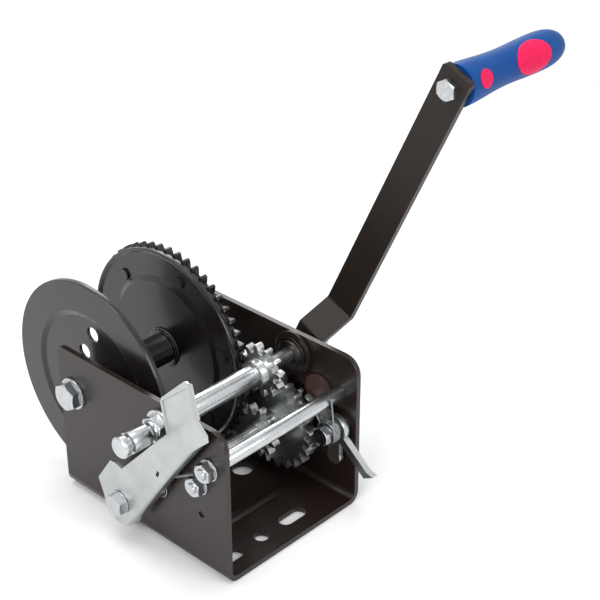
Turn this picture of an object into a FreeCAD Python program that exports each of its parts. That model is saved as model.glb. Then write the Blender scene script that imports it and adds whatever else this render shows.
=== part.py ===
"""Two-speed boat trailer winch, in millimetres.

X runs along the shafts from the gear-shift side to the crank side, -Y is the open front
where the hand levers are, and Z is up from the underside of the base.
"""
import FreeCAD, Part
import math
import os
import Sketcher

doc = FreeCAD.newDocument("boat_trailer_winch")
sheet = doc.addObject("Spreadsheet::Sheet", "dims")

# ---------------------------------------------------------------- driving dimensions
DIMENSIONS = {
    # folded frame
    "frame_width": 132,
    "plate_gauge": 4,
    "plate_depth": 170,
    "plate_height": 120,
    "bend_inside": 5,
    "front_corner": 13,
    "rear_corner": 5,
    "bead_radius": 7,
    "bead_rise": 1.4,
    "bead_length": 78,
    "bead_place": 38,
    # fixing holes in the base
    "mount_inset": 49.5,
    "front_row": -67,
    "rear_row": 64,
    "slot_pitch": 63,
    "slot_width": 11,
    "slot_reach": 13,
    "pilot_radius": 5.5,
    "drain_radius": 8,
    "drain_across": 31,
    "gauge_hole_radius": 2.5,
    "gauge_hole_drop": 26,
    # running and assembly clearances
    "running": 0.05,
    "side_play": 0.2,
    "bolt_play": 0.1,
    "cutter_length": 12,
    # standard nuts and heads
    "hex_bevel": 30,
    "hex_face_share": 0.97,
    "lock_collar_step": 0.6,
    # gear train
    "gear_module": 3,
    "pressure_angle": 25,
    "tooth_thinning": 0.3,
    "addendum": 0.8,
    "dedendum": 1.15,
    "drum_teeth": 52,
    "pinion_teeth": 12,
    "large_teeth": 24,
    "shift_travel": 18,
    # shaft positions, and how far round the drum the other shafts sit
    "drum_y": 69.5,
    "drum_z": 86.5,
    "drive_bearing": 169.8,
    # drum
    "flange_radius": 80,
    "gear_flange_radius": 78.5,
    "flange_gauge": 2.5,
    "flange_left_gap": 11.5,
    "flange_right_gap": 37,
    "dish_radius": 53,
    "dish_depth": 2,
    "dish_slope": 4,
    "rim_width": 4,
    "rim_lip": 2,
    "hub_radius": 12,
    "hub_bore": 9,
    "hub_collar": 14.5,
    "hub_collar_length": 2.5,
    "drum_gear_face": 6,
    "rivet_circle": 62.5,
    "rivet_radius": 3,
    "rivet_head": 4.6,
    "rivet_rise": 1.8,
    "rivet_count": 6,
    "rivet_turn": 45.8,
    "rope_hole": 5.5,
    "outer_hole_circle": 42,
    "outer_hole_turn": 95,
    "inner_hole_circle": 25,
    "inner_hole_turn": 74,
    "drum_bush_length": 14,
    "drum_bush_flange": 1.5,
    "drum_bush_rim": 11.5,
    # drum bolt
    "drum_bolt_radius": 6,
    "drum_bolt_flats": 19,
    "drum_head_height": 7.5,
    "drum_washer_radius": 12,
    "drum_washer_gauge": 2,
    "drum_nut_height": 8,
    "lock_collar_height": 3,
    "drum_spacer_radius": 9.5,
    # intermediate shaft
    "middle_shaft_radius": 5,
    "middle_bush_radius": 7,
    "middle_bush_rim": 9,
    "middle_bush_flange": 1,
    "middle_pinion_gap": 0.5,
    "middle_pinion_face": 6.5,
    "middle_sleeve_radius": 9,
    "large_gear_gap": 18.5,
    "large_gear_face": 7.5,
    "shaft_clip_radius": 8,
    "shaft_clip_gauge": 1.2,
    "shaft_clip_gap": 0.4,
    "shaft_tail": 1.2,
    # ratchet
    "ratchet_inset": 8,
    "ratchet_face": 4,
    "ratchet_tip": 34,
    "ratchet_root": 28.5,
    "ratchet_teeth": 12,
    "ratchet_tip_arc": 5,
    "ratchet_phase": 30,
    "ratchet_root_arc": 11,
    # drive shaft
    "drive_radius": 7.8,
    "drive_neck": 6,
    "drive_left_reach": 38.5,
    "drive_pinion_gap": 0.3,
    "drive_pinion_face": 6.5,
    "pinion_hub_radius": 10,
    "pinion_hub_length": 6,
    "roll_pin_radius": 2,
    "drive_bush_radius": 10.5,
    "drive_bush_rim": 12,
    "drive_bush_flange": 3.5,
    "drive_bush_tail": 3.5,
    "bush_hex_flats": 17.8,
    "bush_hex_length": 7,
    "bush_clip_radius": 12.5,
    "bush_clip_gauge": 1.2,
    "bearing_plate_radius": 17,
    "bearing_plate_gauge": 2.5,
    "groove_radius": 5,
    "groove_width": 3,
    "shaft_chamfer": 1,
    # crank
    "crank_gap": 5,
    "crank_gauge": 5,
    "crank_width": 24,
    "crank_reach": 243,
    "crank_end": 12.5,
    "crank_offset": 23.5,
    "bend_start": 18,
    "bend_end": 32,
    "crank_bend_inside": 2.5,
    "crank_corner": 2.5,
    "crank_lean": 25,
    "crank_thread": 5,
    "crank_washer_radius": 9.5,
    "crank_washer_gauge": 1.6,
    "crank_nut_flats": 17,
    "crank_nut_height": 9,
    # grip
    "grip_bolt_radius": 5,
    "grip_head_flats": 13.5,
    "grip_head_height": 5,
    "grip_washer_radius": 9,
    "grip_washer_gauge": 1.6,
    "grip_length": 105,
    "grip_collar": 14.3,
    "grip_waist": 12.3,
    "grip_palm": 13,
    "grip_tip": 9.2,
    "grip_swell": 0.4,
    "grip_fall": 1.2,
    "grip_bore": 5.15,
    "grip_recess": 8,
    "grip_recess_depth": 14,
    "grip_cap_length": 4,
    "grip_cap_dome": 1.2,
    "grip_nut_flats": 13,
    "grip_nut_height": 7,
    "pad_length": 36,
    "pad_width": 22,
    "pad_rise": 0.5,
    "pad_floor": 7.4,
    "pad_place": 66,
    "pad_facing": 161,
    "pad_lean": 22,
    "button_width": 12.5,
    "button_place": 14,
    # tie bolt at the open front
    "tie_y": -70,
    "tie_z": 89,
    "tie_bolt_radius": 4,
    "tie_tube_radius": 5.4,
    "small_flats": 13,
    "small_nut_height": 6.5,
    "small_head_height": 5.3,
    "thread_tail": 1.5,
    "small_washer_radius": 8,
    "small_washer_gauge": 1.6,
    # pawl
    "pawl_y": -71,
    "pawl_z": 62,
    "pawl_sleeve_radius": 6.5,
    "pawl_hub_radius": 11,
    "pawl_sleeve_inset": 17.5,
    "nose_bite": 33,
    "nose_clear": 1.5,
    "nose_free": 0.4,
    "nose_tip": 0.9,
    "nose_root": 4,
    "tail_drop": 24,
    "tail_radius": 6,
    "ear_radius": 4.5,
    "ear_across": 14,
    "ear_up": 9.5,
    "handle_reach": 42,
    "handle_drop": 40,
    "handle_depth": 6.4,
    "handle_gauge": 5,
    "handle_hook": 2.5,
    "guard_y": -49.5,
    "guard_z": 82,
    "guard_radius": 12.5,
    "guard_gauge": 2,
    "pawl_wire": 0.8,
    "pawl_coil": 8.2,
    "pawl_coil_pitch": 1.75,
    "peg_radius": 1.5,
    # gear-shift lock lever
    "lever_stand_off": 15,
    "lever_gauge": 2.4,
    "lever_flange": 6.5,
    "lever_fold": 3,
    "lock_edge_turn": 133.2,
    "lock_edge_down": 50,
    "lock_edge_up": 21.4,
    "release_gap": 0.75,
    "tab_bend": 20,
    "tab_height": 24,
    "tab_width": 37,
    "fold_turn": 139.8,
    "cheek_top_y": -90,
    "cheek_top_z": 97.5,
    "cheek_side_y": -90.6,
    "cheek_side_z": 92.5,
    "cheek_foot_y": -79.8,
    "cheek_foot_z": 82.5,
    "waist_y": -48.3,
    "waist_z": 39.9,
    "heel_y": -9.5,
    "heel_z": -16,
    "sole_front_y": -4,
    "sole_front_z": -18.8,
    "sole_back_y": 6,
    "sole_back_z": -19,
    "back_foot_y": 16.4,
    "back_foot_z": -12.9,
    "back_side_y": 17.5,
    "back_side_z": -3,
    "back_top_y": 22.6,
    "back_top_z": 10.3,
    "crown_back_y": 8,
    "crown_back_z": 31.5,
    "crown_front_y": 2.8,
    "crown_front_z": 31.9,
    "spring_rest_y": -40.7,
    "spring_rest_z": 44.2,
    "tab_flange": 1.6,
    "tab_rim": 2.2,
    "tab_corner": 2.5,
    "tab_recess": 0.7,
    "lever_slot_length": 5,
    "lever_slot_width": 2.4,
    "lever_pivot_y": 7,
    "lever_pivot_z": 31,
    "pivot_radius": 5,
    "pivot_shoulder": 7.5,
    "pivot_tail": 4,
    "pivot_flats": 15,
    "pivot_head_height": 6,
    "pivot_washer_radius": 9,
    "pivot_washer_gauge": 1.2,
    "lever_wire": 0.9,
    "lever_coil": 9,
    "lever_coil_pitch": 1.95,
    "anchor_y": -60,
    "anchor_z": 73,
}

# Places along X that follow from the dimensions, measured from the two side plates.
PLACES = {
    "mount_middle": "=mount_inset - frame_width / 2",
    "flange_left": "=plate_gauge + flange_left_gap - frame_width / 2",
    "flange_right": "=frame_width / 2 - plate_gauge - flange_right_gap",
    "middle_pinion_start": "=flange_right + middle_pinion_gap",
    "large_gear_start": "=flange_right + large_gear_gap",
    "ratchet_start": "=frame_width / 2 - plate_gauge - ratchet_inset",
    "drive_left": "=-drive_left_reach - frame_width / 2",
    "drive_pinion_start": "=flange_right + drive_pinion_gap",
    "crank_start": "=frame_width / 2 + crank_gap",
    "pawl_sleeve_start": "=frame_width / 2 - plate_gauge - pawl_sleeve_inset",
    "lever_start": "=-lever_stand_off - frame_width / 2",
}

for row, (alias, number) in enumerate((DIMENSIONS | PLACES).items(), 1):
    sheet.set(f"A{row}", alias)
    sheet.set(f"B{row}", str(number))
    sheet.setAlias(f"B{row}", alias)
doc.recompute()


# ---------------------------------------------------------------- helpers
def value(formula):
    """The number that a formula of the sheet gives."""
    found = sheet.evalExpression(formula)
    return float(getattr(found, "Value", found))


def bind(thing, formulas):
    """Tie properties of an object to formulas of the sheet."""
    for path, formula in formulas.items():
        thing.setExpression(path, formula)
    return thing


def at(thing, x, y, z, turn=None):
    """Place an object by formulas, turned by a rotation if one is given."""
    rotation = turn or FreeCAD.Rotation()
    spot = FreeCAD.Vector(value(x), value(y), value(z))
    thing.Placement = FreeCAD.Placement(spot, rotation)
    return bind(thing, {"Placement.Base.x": x, "Placement.Base.y": y, "Placement.Base.z": z})


ALONG_X = FreeCAD.Rotation(FreeCAD.Vector(0, 1, 0), 90)


def rod(name, radius, start, length, spot):
    """A round bar along X from start, at the (y, z) formulas in spot."""
    bar = doc.addObject("Part::Cylinder", name)
    bind(bar, {"Radius": radius, "Height": length})
    return at(bar, start, *spot, ALONG_X)


def hexagon(name, flats, start, length, spot, turned="left"):
    """A hexagonal head or nut along X, given across its flats, with a turned bevel on one face."""
    bar = doc.addObject("Part::Prism", f"{name}_bar")
    bar.Polygon = 6
    bind(bar, {"Circumradius": f"({flats}) / sqrt(3)", "Height": length})
    at(bar, start, *spot, ALONG_X)
    small = f"({flats}) / 2 * dims.hex_face_share"
    large = f"{small} + ({length}) / tan(dims.hex_bevel * 1 deg)"
    bevel = doc.addObject("Part::Cone", f"{name}_bevel")
    left = turned == "left"
    bind(bevel, {"Radius1": small if left else large, "Radius2": large if left else small})
    bind(bevel, {"Height": length})
    at(bevel, start, *spot, ALONG_X)
    made = doc.addObject("Part::Common", name)
    made.Base = bar
    made.Tool = bevel
    return made


def fuse(name, *solids):
    """One solid out of several that meet."""
    joined = doc.addObject("Part::MultiFuse", name)
    joined.Shapes = list(solids)
    joined.Refine = True
    return joined


def cut(name, base, *tools):
    """A solid less its tools."""
    made = doc.addObject("Part::Cut", name)
    made.Base = base
    made.Tool = tools[0] if len(tools) == 1 else fuse(f"{name}_tools", *tools)
    made.Refine = True
    return made


def group(name, *solids):
    """Separate solids of one kind that share a node."""
    kept = doc.addObject("Part::Compound", name)
    kept.Links = list(solids)
    return kept


def ring(name, outer, inner, start, length, spot):
    """A tube or washer along X."""
    return cut(
        name,
        rod(f"{name}_outside", outer, start, length, spot),
        rod(f"{name}_bore", inner, start, length, spot),
    )


def sketch_on(body, role, name):
    """A sketch on one of the body's own origin planes."""
    sketch = body.newObject("Sketcher::SketchObject", name)
    plane = [feature for feature in body.Origin.OriginFeatures if feature.Role == role][0]
    sketch.AttachmentSupport = [(plane, "")]
    sketch.MapMode = "FlatFace"
    return sketch


def polygon(body, role, name, points):
    """A closed outline through points, each held by a pair of formulas or numbers."""
    sketch = sketch_on(body, role, name)
    formulas = [(str(across), str(up)) for across, up in points]
    spots = [FreeCAD.Vector(value(across), value(up), 0) for across, up in formulas]
    for n, spot in enumerate(spots):
        sketch.addGeometry(Part.LineSegment(spot, spots[(n + 1) % len(spots)]))
    for n in range(len(spots)):
        following = (n + 1) % len(spots)
        sketch.addConstraint(Sketcher.Constraint("Coincident", n, 2, following, 1))
    for n, (across, up) in enumerate(formulas):
        for kind, formula, number in (("DistanceX", across, spots[n].x), ("DistanceY", up, spots[n].y)):
            held = sketch.addConstraint(Sketcher.Constraint(kind, -1, 1, n, 1, number))
            sketch.setExpression(f"Constraints[{held}]", formula)
    return sketch


def disc_sketch(body, role, name, radius):
    """A circle about the origin, sized by a formula."""
    sketch = sketch_on(body, role, name)
    circle = Part.Circle(FreeCAD.Vector(), FreeCAD.Vector(0, 0, 1), value(radius))
    sketch.addGeometry(circle)
    sketch.addConstraint(Sketcher.Constraint("Coincident", 0, 3, -1, 1))
    held = sketch.addConstraint(Sketcher.Constraint("Radius", 0, value(radius)))
    sketch.setExpression(f"Constraints[{held}]", radius)
    return sketch


def padded(name, role, points, length, side="One side"):
    """A body made by padding an outline."""
    body = doc.addObject("PartDesign::Body", name)
    outline = polygon(body, role, f"{name}_outline", points)
    pad = body.newObject("PartDesign::Pad", f"{name}_pad")
    pad.Profile = outline
    pad.SideType = side
    bind(pad, {"Length": length})
    body.Tip = pad
    return body, pad


def rounded(body, feature, name, radius, wanted):
    """Fillet the edges that a test picks."""
    doc.recompute()
    edges = [f"Edge{n}" for n, edge in enumerate(feature.Shape.Edges, 1) if wanted(edge)]
    fillet = body.newObject("PartDesign::Fillet", name)
    fillet.Base = (feature, edges)
    bind(fillet, {"Radius": radius})
    body.Tip = fillet
    return fillet


def runs_along(edge, axis):
    """Whether a straight edge runs along an axis given by its number."""
    if len(edge.Vertexes) != 2:
        return False
    step = edge.Vertexes[1].Point - edge.Vertexes[0].Point
    return abs(abs(step[axis]) - step.Length) < 1e-6


def revolved(name, points):
    """A body turned about X from an outline of (x, radius) points."""
    body = doc.addObject("PartDesign::Body", name)
    outline = polygon(body, "XY_Plane", f"{name}_outline", points)
    turn = body.newObject("PartDesign::Revolution", f"{name}_turn")
    turn.Profile = outline
    turn.ReferenceAxis = (outline, ["H_Axis"])
    turn.Angle = 360
    body.Tip = turn
    return body


def circular(body, original, name, count):
    """Repeat a feature evenly about the body's X axis."""
    pattern = body.newObject("PartDesign::PolarPattern", name)
    axis = [feature for feature in body.Origin.OriginFeatures if feature.Role == "X_Axis"][0]
    pattern.Originals = [original]
    pattern.Axis = (axis, [""])
    pattern.Angle = 360
    bind(pattern, {"Occurrences": count})
    body.Tip = pattern
    return pattern


def spun(degrees):
    """A turn about the X axis."""
    return FreeCAD.Rotation(FreeCAD.Vector(1, 0, 0), degrees)


nodes = []


def finished(name, thing):
    """Name a piece and keep it for export."""
    thing.Label = name
    nodes.append(thing)
    return thing


# ---------------------------------------------------------------- shared places
LEFT_OUT = "-dims.frame_width / 2"
LEFT_IN = "-dims.frame_width / 2 + dims.plate_gauge"
RIGHT_IN = "dims.frame_width / 2 - dims.plate_gauge"
RIGHT_OUT = "dims.frame_width / 2"

PITCH = "dims.gear_module / 2"
DRIVE_CENTRES = f"{PITCH} * (dims.drum_teeth + dims.pinion_teeth)"
LOW_CENTRES = f"{PITCH} * (dims.pinion_teeth + dims.large_teeth)"
APART = f"2 * asin({LOW_CENTRES} / (2 * {DRIVE_CENTRES}))"
DRIVE_TURN = "dims.drive_bearing * 1 deg"

DRUM = ("dims.drum_y", "dims.drum_z")
DRIVE = (
    f"dims.drum_y + {DRIVE_CENTRES} * cos({DRIVE_TURN})",
    f"dims.drum_z + {DRIVE_CENTRES} * sin({DRIVE_TURN})",
)
MIDDLE = (
    f"dims.drum_y + {DRIVE_CENTRES} * cos({DRIVE_TURN} + {APART})",
    f"dims.drum_z + {DRIVE_CENTRES} * sin({DRIVE_TURN} + {APART})",
)
TIE = ("dims.tie_y", "dims.tie_z")
PAWL = ("dims.pawl_y", "dims.pawl_z")
LEVER = ("dims.lever_pivot_y", "dims.lever_pivot_z")
ANCHOR = ("dims.anchor_y", "dims.anchor_z")


def bearing(start, end):
    """The direction in degrees from one shaft to another, from +Y towards +Z."""
    across = value(end[0]) - value(start[0])
    up = value(end[1]) - value(start[1])
    return math.degrees(math.atan2(up, across))


# ---------------------------------------------------------------- folded frame
outside = "dims.frame_width / 2"
inside = "(dims.frame_width / 2 - dims.plate_gauge)"
frame_body, frame_pad = padded(
    "frame_shell",
    "XZ_Plane",
    (
        (f"-{outside}", "dims.plate_height"),
        (f"-{outside}", "0"),
        (outside, "0"),
        (outside, "dims.plate_height"),
        (inside, "dims.plate_height"),
        (inside, "dims.plate_gauge"),
        (f"-{inside}", "dims.plate_gauge"),
        (f"-{inside}", "dims.plate_height"),
    ),
    "dims.plate_depth",
    "Symmetric",
)


def bend_edge(height):
    """A test for the long edges of the two bends at a height."""
    def wanted(edge):
        return runs_along(edge, 1) and abs(edge.Vertexes[0].Z - height) < 1e-6
    return wanted


def corner_edge(front):
    """A test for the plates' top corners at the front or at the rear."""
    top = value("dims.plate_height")
    reach = value("dims.plate_depth") / 2

    def wanted(edge):
        middle = edge.CenterOfMass
        side = middle.y < 0 if front else middle.y > 0
        at_end = abs(abs(middle.y) - reach) < 1e-6
        return runs_along(edge, 0) and side and at_end and abs(middle.z - top) < 1e-6
    return wanted


frame_bends = rounded(
    frame_body, frame_pad, "outer_bends", "dims.bend_inside + dims.plate_gauge", bend_edge(0)
)
frame_bends = rounded(
    frame_body, frame_bends, "inner_bends", "dims.bend_inside", bend_edge(value("dims.plate_gauge"))
)
frame_bends = rounded(frame_body, frame_bends, "front_corners", "dims.front_corner", corner_edge(True))
rounded(frame_body, frame_bends, "rear_corners", "dims.rear_corner", corner_edge(False))


def plate_hole(name, radius, side, spot):
    """A drill through one side plate."""
    start = f"{LEFT_OUT} - 1" if side == "left" else f"{RIGHT_IN} - 1"
    return rod(name, radius, start, "dims.plate_gauge + 2", spot)


def both_holes(name, radius, spot):
    """A drill through both side plates."""
    return rod(name, radius, f"{LEFT_OUT} - 1", "dims.frame_width + 2", spot)


def base_drill(name, radius, across, along):
    """A drill down through the base."""
    drill = doc.addObject("Part::Cylinder", name)
    bind(drill, {"Radius": radius, "Height": "dims.plate_gauge + 4"})
    return at(drill, across, along, "-1")


def base_slot(name, across, along):
    """A slot in the base that runs along X."""
    half = "dims.slot_reach / 2"
    box = doc.addObject("Part::Box", f"{name}_middle")
    bind(box, {"Length": "dims.slot_reach", "Width": "dims.slot_width", "Height": "dims.plate_gauge + 4"})
    at(box, f"{across} - {half}", f"{along} - dims.slot_width / 2", "-1")
    return fuse(
        name,
        box,
        base_drill(f"{name}_left", "dims.slot_width / 2", f"{across} - {half}", along),
        base_drill(f"{name}_right", "dims.slot_width / 2", f"{across} + {half}", along),
    )


def stiffening_bead(name, along):
    """A pressed bead across the top of the base."""
    middle = "dims.plate_gauge + dims.bead_rise - dims.bead_radius"
    bead = rod(name, "dims.bead_radius", "-dims.bead_length / 2", "dims.bead_length", (along, middle))
    trim = doc.addObject("Part::Box", f"{name}_trim")
    bind(trim, {"Length": "dims.bead_length + 2", "Width": "4 * dims.bead_radius"})
    bind(trim, {"Height": "4 * dims.bead_radius"})
    at(
        trim,
        "-dims.bead_length / 2 - 1",
        f"{along} - 2 * dims.bead_radius",
        "dims.plate_gauge / 2 - 4 * dims.bead_radius",
    )
    return cut(f"{name}_top", bead, trim)


mount_holes = [
    base_drill("front_pilot", "dims.pilot_radius", "dims.mount_middle", "dims.front_row"),
    base_drill("rear_pilot", "dims.pilot_radius", "dims.mount_middle", "dims.rear_row"),
    base_drill("drain", "dims.drain_radius", "dims.drain_across", "0"),
]
for row_name in ("front", "rear"):
    for side_name, sign in (("left", "-"), ("right", "+")):
        slot_middle = f"dims.mount_middle {sign} dims.slot_pitch / 2"
        mount_holes.append(base_slot(f"{row_name}_{side_name}_slot", slot_middle, f"dims.{row_name}_row"))

frame_blank = fuse(
    "frame_blank",
    frame_body,
    stiffening_bead("front_bead", "-dims.bead_place"),
    stiffening_bead("rear_bead", "dims.bead_place"),
)
finished(
    "base_frame",
    cut(
        "base_frame",
        frame_blank,
        both_holes("drum_bolt_holes", "dims.drum_bolt_radius + dims.bolt_play", DRUM),
        both_holes("drive_bush_holes", "dims.drive_bush_radius + dims.running", DRIVE),
        both_holes("middle_bush_holes", "dims.middle_bush_radius", MIDDLE),
        both_holes("tie_holes", "dims.tie_bolt_radius + dims.bolt_play", TIE),
        plate_hole("pawl_hole", "dims.tie_bolt_radius + dims.bolt_play", "right", PAWL),
        plate_hole("lever_hole", "dims.pivot_tail", "left", LEVER),
        plate_hole("anchor_hole", "dims.tie_bolt_radius + dims.bolt_play", "left", ANCHOR),
        plate_hole(
            "gauge_hole",
            "dims.gauge_hole_radius",
            "left",
            ("dims.anchor_y", "dims.anchor_z - dims.gauge_hole_drop"),
        ),
        *mount_holes,
    ),
)


# ---------------------------------------------------------------- drum on its bolt
washer_left = f"{LEFT_OUT} - dims.drum_washer_gauge"
finished(
    "drum_bolt",
    fuse(
        "drum_bolt",
        hexagon(
            "drum_bolt_head",
            "dims.drum_bolt_flats",
            f"{washer_left} - dims.drum_head_height",
            "dims.drum_head_height",
            DRUM,
        ),
        rod(
            "drum_bolt_shank",
            "dims.drum_bolt_radius",
            washer_left,
            "dims.frame_width + 2 * dims.drum_washer_gauge + dims.drum_nut_height"
            " + dims.lock_collar_height + 2",
            DRUM,
        ),
    ),
)
finished(
    "drum_washers",
    group(
        "drum_washers",
        ring(
            "drum_washer_left",
            "dims.drum_washer_radius",
            "dims.drum_bolt_radius",
            washer_left,
            "dims.drum_washer_gauge",
            DRUM,
        ),
        ring(
            "drum_washer_right",
            "dims.drum_washer_radius",
            "dims.drum_bolt_radius",
            RIGHT_OUT,
            "dims.drum_washer_gauge",
            DRUM,
        ),
    ),
)


def lock_nut(name, flats, bore, start, height, collar, spot):
    """A hexagonal nut with the round collar of its locking insert."""
    return cut(
        name,
        fuse(
            f"{name}_solid",
            hexagon(f"{name}_hex", flats, start, height, spot, "right"),
            rod(
                f"{name}_collar",
                f"({flats}) / 2 - dims.lock_collar_step",
                f"{start} + {height}",
                collar,
                spot,
            ),
        ),
        rod(f"{name}_bore", bore, start, f"{height} + {collar}", spot),
    )


finished(
    "drum_nut",
    lock_nut(
        "drum_nut",
        "dims.drum_bolt_flats",
        "dims.drum_bolt_radius",
        f"{RIGHT_OUT} + dims.drum_washer_gauge",
        "dims.drum_nut_height",
        "dims.lock_collar_height",
        DRUM,
    ),
)
HUB_END = "dims.flange_right + dims.drum_gear_face"
finished(
    "drum_spacers",
    group(
        "drum_spacers",
        ring(
            "drum_spacer_left",
            "dims.drum_spacer_radius",
            "dims.drum_bolt_radius",
            LEFT_IN,
            f"dims.flange_left - dims.drum_bush_flange - dims.side_play - ({LEFT_IN})",
            DRUM,
        ),
        ring(
            "drum_spacer_right",
            "dims.drum_spacer_radius",
            "dims.drum_bolt_radius",
            f"{HUB_END} + dims.drum_bush_flange + dims.side_play",
            f"{RIGHT_IN} - ({HUB_END} + dims.drum_bush_flange + dims.side_play)",
            DRUM,
        ),
    ),
)
LEFT_WEB = "dims.flange_left + dims.dish_depth + dims.flange_gauge"
RIGHT_WEB = "dims.flange_right - dims.dish_depth - dims.flange_gauge"
finished(
    "drum_hub",
    cut(
        "drum_hub",
        fuse(
            "drum_hub_solid",
            rod("hub_tube", "dims.hub_radius", "dims.flange_left", f"{HUB_END} - dims.flange_left", DRUM),
            rod("hub_collar_left", "dims.hub_collar", LEFT_WEB, "dims.hub_collar_length", DRUM),
            rod(
                "hub_collar_right",
                "dims.hub_collar",
                f"{RIGHT_WEB} - dims.hub_collar_length",
                "dims.hub_collar_length",
                DRUM,
            ),
        ),
        rod("hub_bore", "dims.hub_bore", "dims.flange_left", f"{HUB_END} - dims.flange_left", DRUM),
    ),
)


def drum_bush(name, outward):
    """A flanged bush pressed into one end of the hub."""
    left = outward == "left"
    flange_start = "dims.flange_left - dims.drum_bush_flange" if left else HUB_END
    body_start = "dims.flange_left" if left else f"{HUB_END} - dims.drum_bush_length"
    bore_start = flange_start if left else body_start
    return cut(
        name,
        fuse(
            f"{name}_solid",
            rod(f"{name}_flange", "dims.drum_bush_rim", flange_start, "dims.drum_bush_flange", DRUM),
            rod(f"{name}_body", "dims.hub_bore", body_start, "dims.drum_bush_length", DRUM),
        ),
        rod(
            f"{name}_bore",
            "dims.drum_bolt_radius + dims.running",
            bore_start,
            "dims.drum_bush_length + dims.drum_bush_flange",
            DRUM,
        ),
    )


finished(
    "drum_bushes",
    group("drum_bushes", drum_bush("drum_bush_left", "left"), drum_bush("drum_bush_right", "right")),
)


def flange_profile(face, inward, radius):
    """Outline of a pressed flange: flat web, slope, outer band and a lip at the rim."""
    near = face
    far = f"{face} {inward} dims.flange_gauge"
    dished_near = f"{near} {inward} dims.dish_depth"
    dished_far = f"{far} {inward} dims.dish_depth"
    lip = f"{far} {inward} dims.rim_lip"
    slope_end = "dims.dish_radius + dims.dish_slope"
    return (
        (dished_near, "dims.hub_radius"),
        (dished_near, "dims.dish_radius"),
        (near, slope_end),
        (near, radius),
        (lip, radius),
        (lip, f"{radius} - dims.rim_width / 2"),
        (far, f"{radius} - dims.rim_width"),
        (far, slope_end),
        (dished_far, "dims.dish_radius"),
        (dished_far, "dims.hub_radius"),
    )


def polar(circle, turn):
    """The (y, z) formulas of a point on a circle about the drum's axis."""
    return (
        f"dims.drum_y + {circle} * cos({turn} * 1 deg)",
        f"dims.drum_z + {circle} * sin({turn} * 1 deg)",
    )


left_disc = at(
    revolved("left_disc", flange_profile("dims.flange_left", "+", "dims.flange_radius")), "0", *DRUM
)
finished(
    "left_flange",
    cut(
        "left_flange",
        left_disc,
        rod(
            "outer_rope_hole",
            "dims.rope_hole",
            "dims.flange_left - 2",
            "dims.cutter_length",
            polar("dims.outer_hole_circle", "dims.outer_hole_turn"),
        ),
        rod(
            "inner_rope_hole",
            "dims.rope_hole",
            "dims.flange_left - 2",
            "dims.cutter_length",
            polar("dims.inner_hole_circle", "dims.inner_hole_turn"),
        ),
    ),
)


def rivet_spot(number):
    """Where one of the gear's rivets stands."""
    turn = f"(dims.rivet_turn + {number} * 360 / dims.rivet_count)"
    return polar("dims.rivet_circle", turn)


rivet_count = int(value("dims.rivet_count"))
right_disc = at(
    revolved("right_disc", flange_profile("dims.flange_right", "-", "dims.gear_flange_radius")), "0", *DRUM
)
finished(
    "right_flange",
    cut(
        "right_flange",
        right_disc,
        *[
            rod(
                f"flange_rivet_hole_{n}",
                "dims.rivet_radius",
                "dims.flange_right - 8",
                "dims.cutter_length",
                rivet_spot(n),
            )
            for n in range(rivet_count)
        ],
    ),
)


# ---------------------------------------------------------------- gears
PRESSURE_ANGLE = math.radians(value("dims.pressure_angle"))


def flank(teeth, radius):
    """Half the angle that a tooth fills at a radius, from its involute sides."""
    module = value("dims.gear_module")
    pitch_radius = module * teeth / 2
    base_radius = pitch_radius * math.cos(PRESSURE_ANGLE)
    slant = math.acos(min(1.0, base_radius / max(radius, base_radius)))
    at_pitch = math.tan(PRESSURE_ANGLE) - PRESSURE_ANGLE
    here = math.tan(slant) - slant
    thickness = math.pi * module / 2 - value("dims.tooth_thinning")
    return thickness / (2 * pitch_radius) + at_pitch - here


def gap_points(teeth):
    """The space between two teeth, centred on the +Y direction."""
    module = value("dims.gear_module")
    pitch_radius = module * teeth / 2
    tip = pitch_radius + module * value("dims.addendum")
    root = pitch_radius - module * value("dims.dedendum")
    base_radius = pitch_radius * math.cos(PRESSURE_ANGLE)
    low = max(root, base_radius)
    stations = [root] if root < base_radius else []
    stations += [low + (tip - low) * share for share in (0, 0.35, 0.7, 1)]
    half_gaps = [math.pi / teeth - flank(teeth, radius) for radius in stations]
    stations.append(tip + 1)
    half_gaps.append(half_gaps[-1] + 0.5 / tip)
    side = [
        (radius * math.cos(angle), radius * math.sin(angle))
        for radius, angle in zip(stations, half_gaps)
    ]
    return side + [(across, -up) for across, up in reversed(side)]


TIP_RADIUS = "dims.gear_module * ({} / 2 + dims.addendum)"


def spur_gear(name, teeth, face):
    """A toothed disc about the body's X axis, from x = 0, with a gap towards +Y."""
    body = doc.addObject("PartDesign::Body", name)
    blank = body.newObject("PartDesign::Pad", f"{name}_blank")
    blank.Profile = disc_sketch(body, "YZ_Plane", f"{name}_circle", TIP_RADIUS.format(teeth))
    bind(blank, {"Length": face})
    gap = body.newObject("PartDesign::Pocket", f"{name}_gap")
    gap.Profile = polygon(body, "YZ_Plane", f"{name}_space", gap_points(value(teeth)))
    gap.SideType = "Symmetric"
    bind(gap, {"Length": f"3 * ({face})"})
    circular(body, gap, f"{name}_gaps", teeth)
    return body


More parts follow.
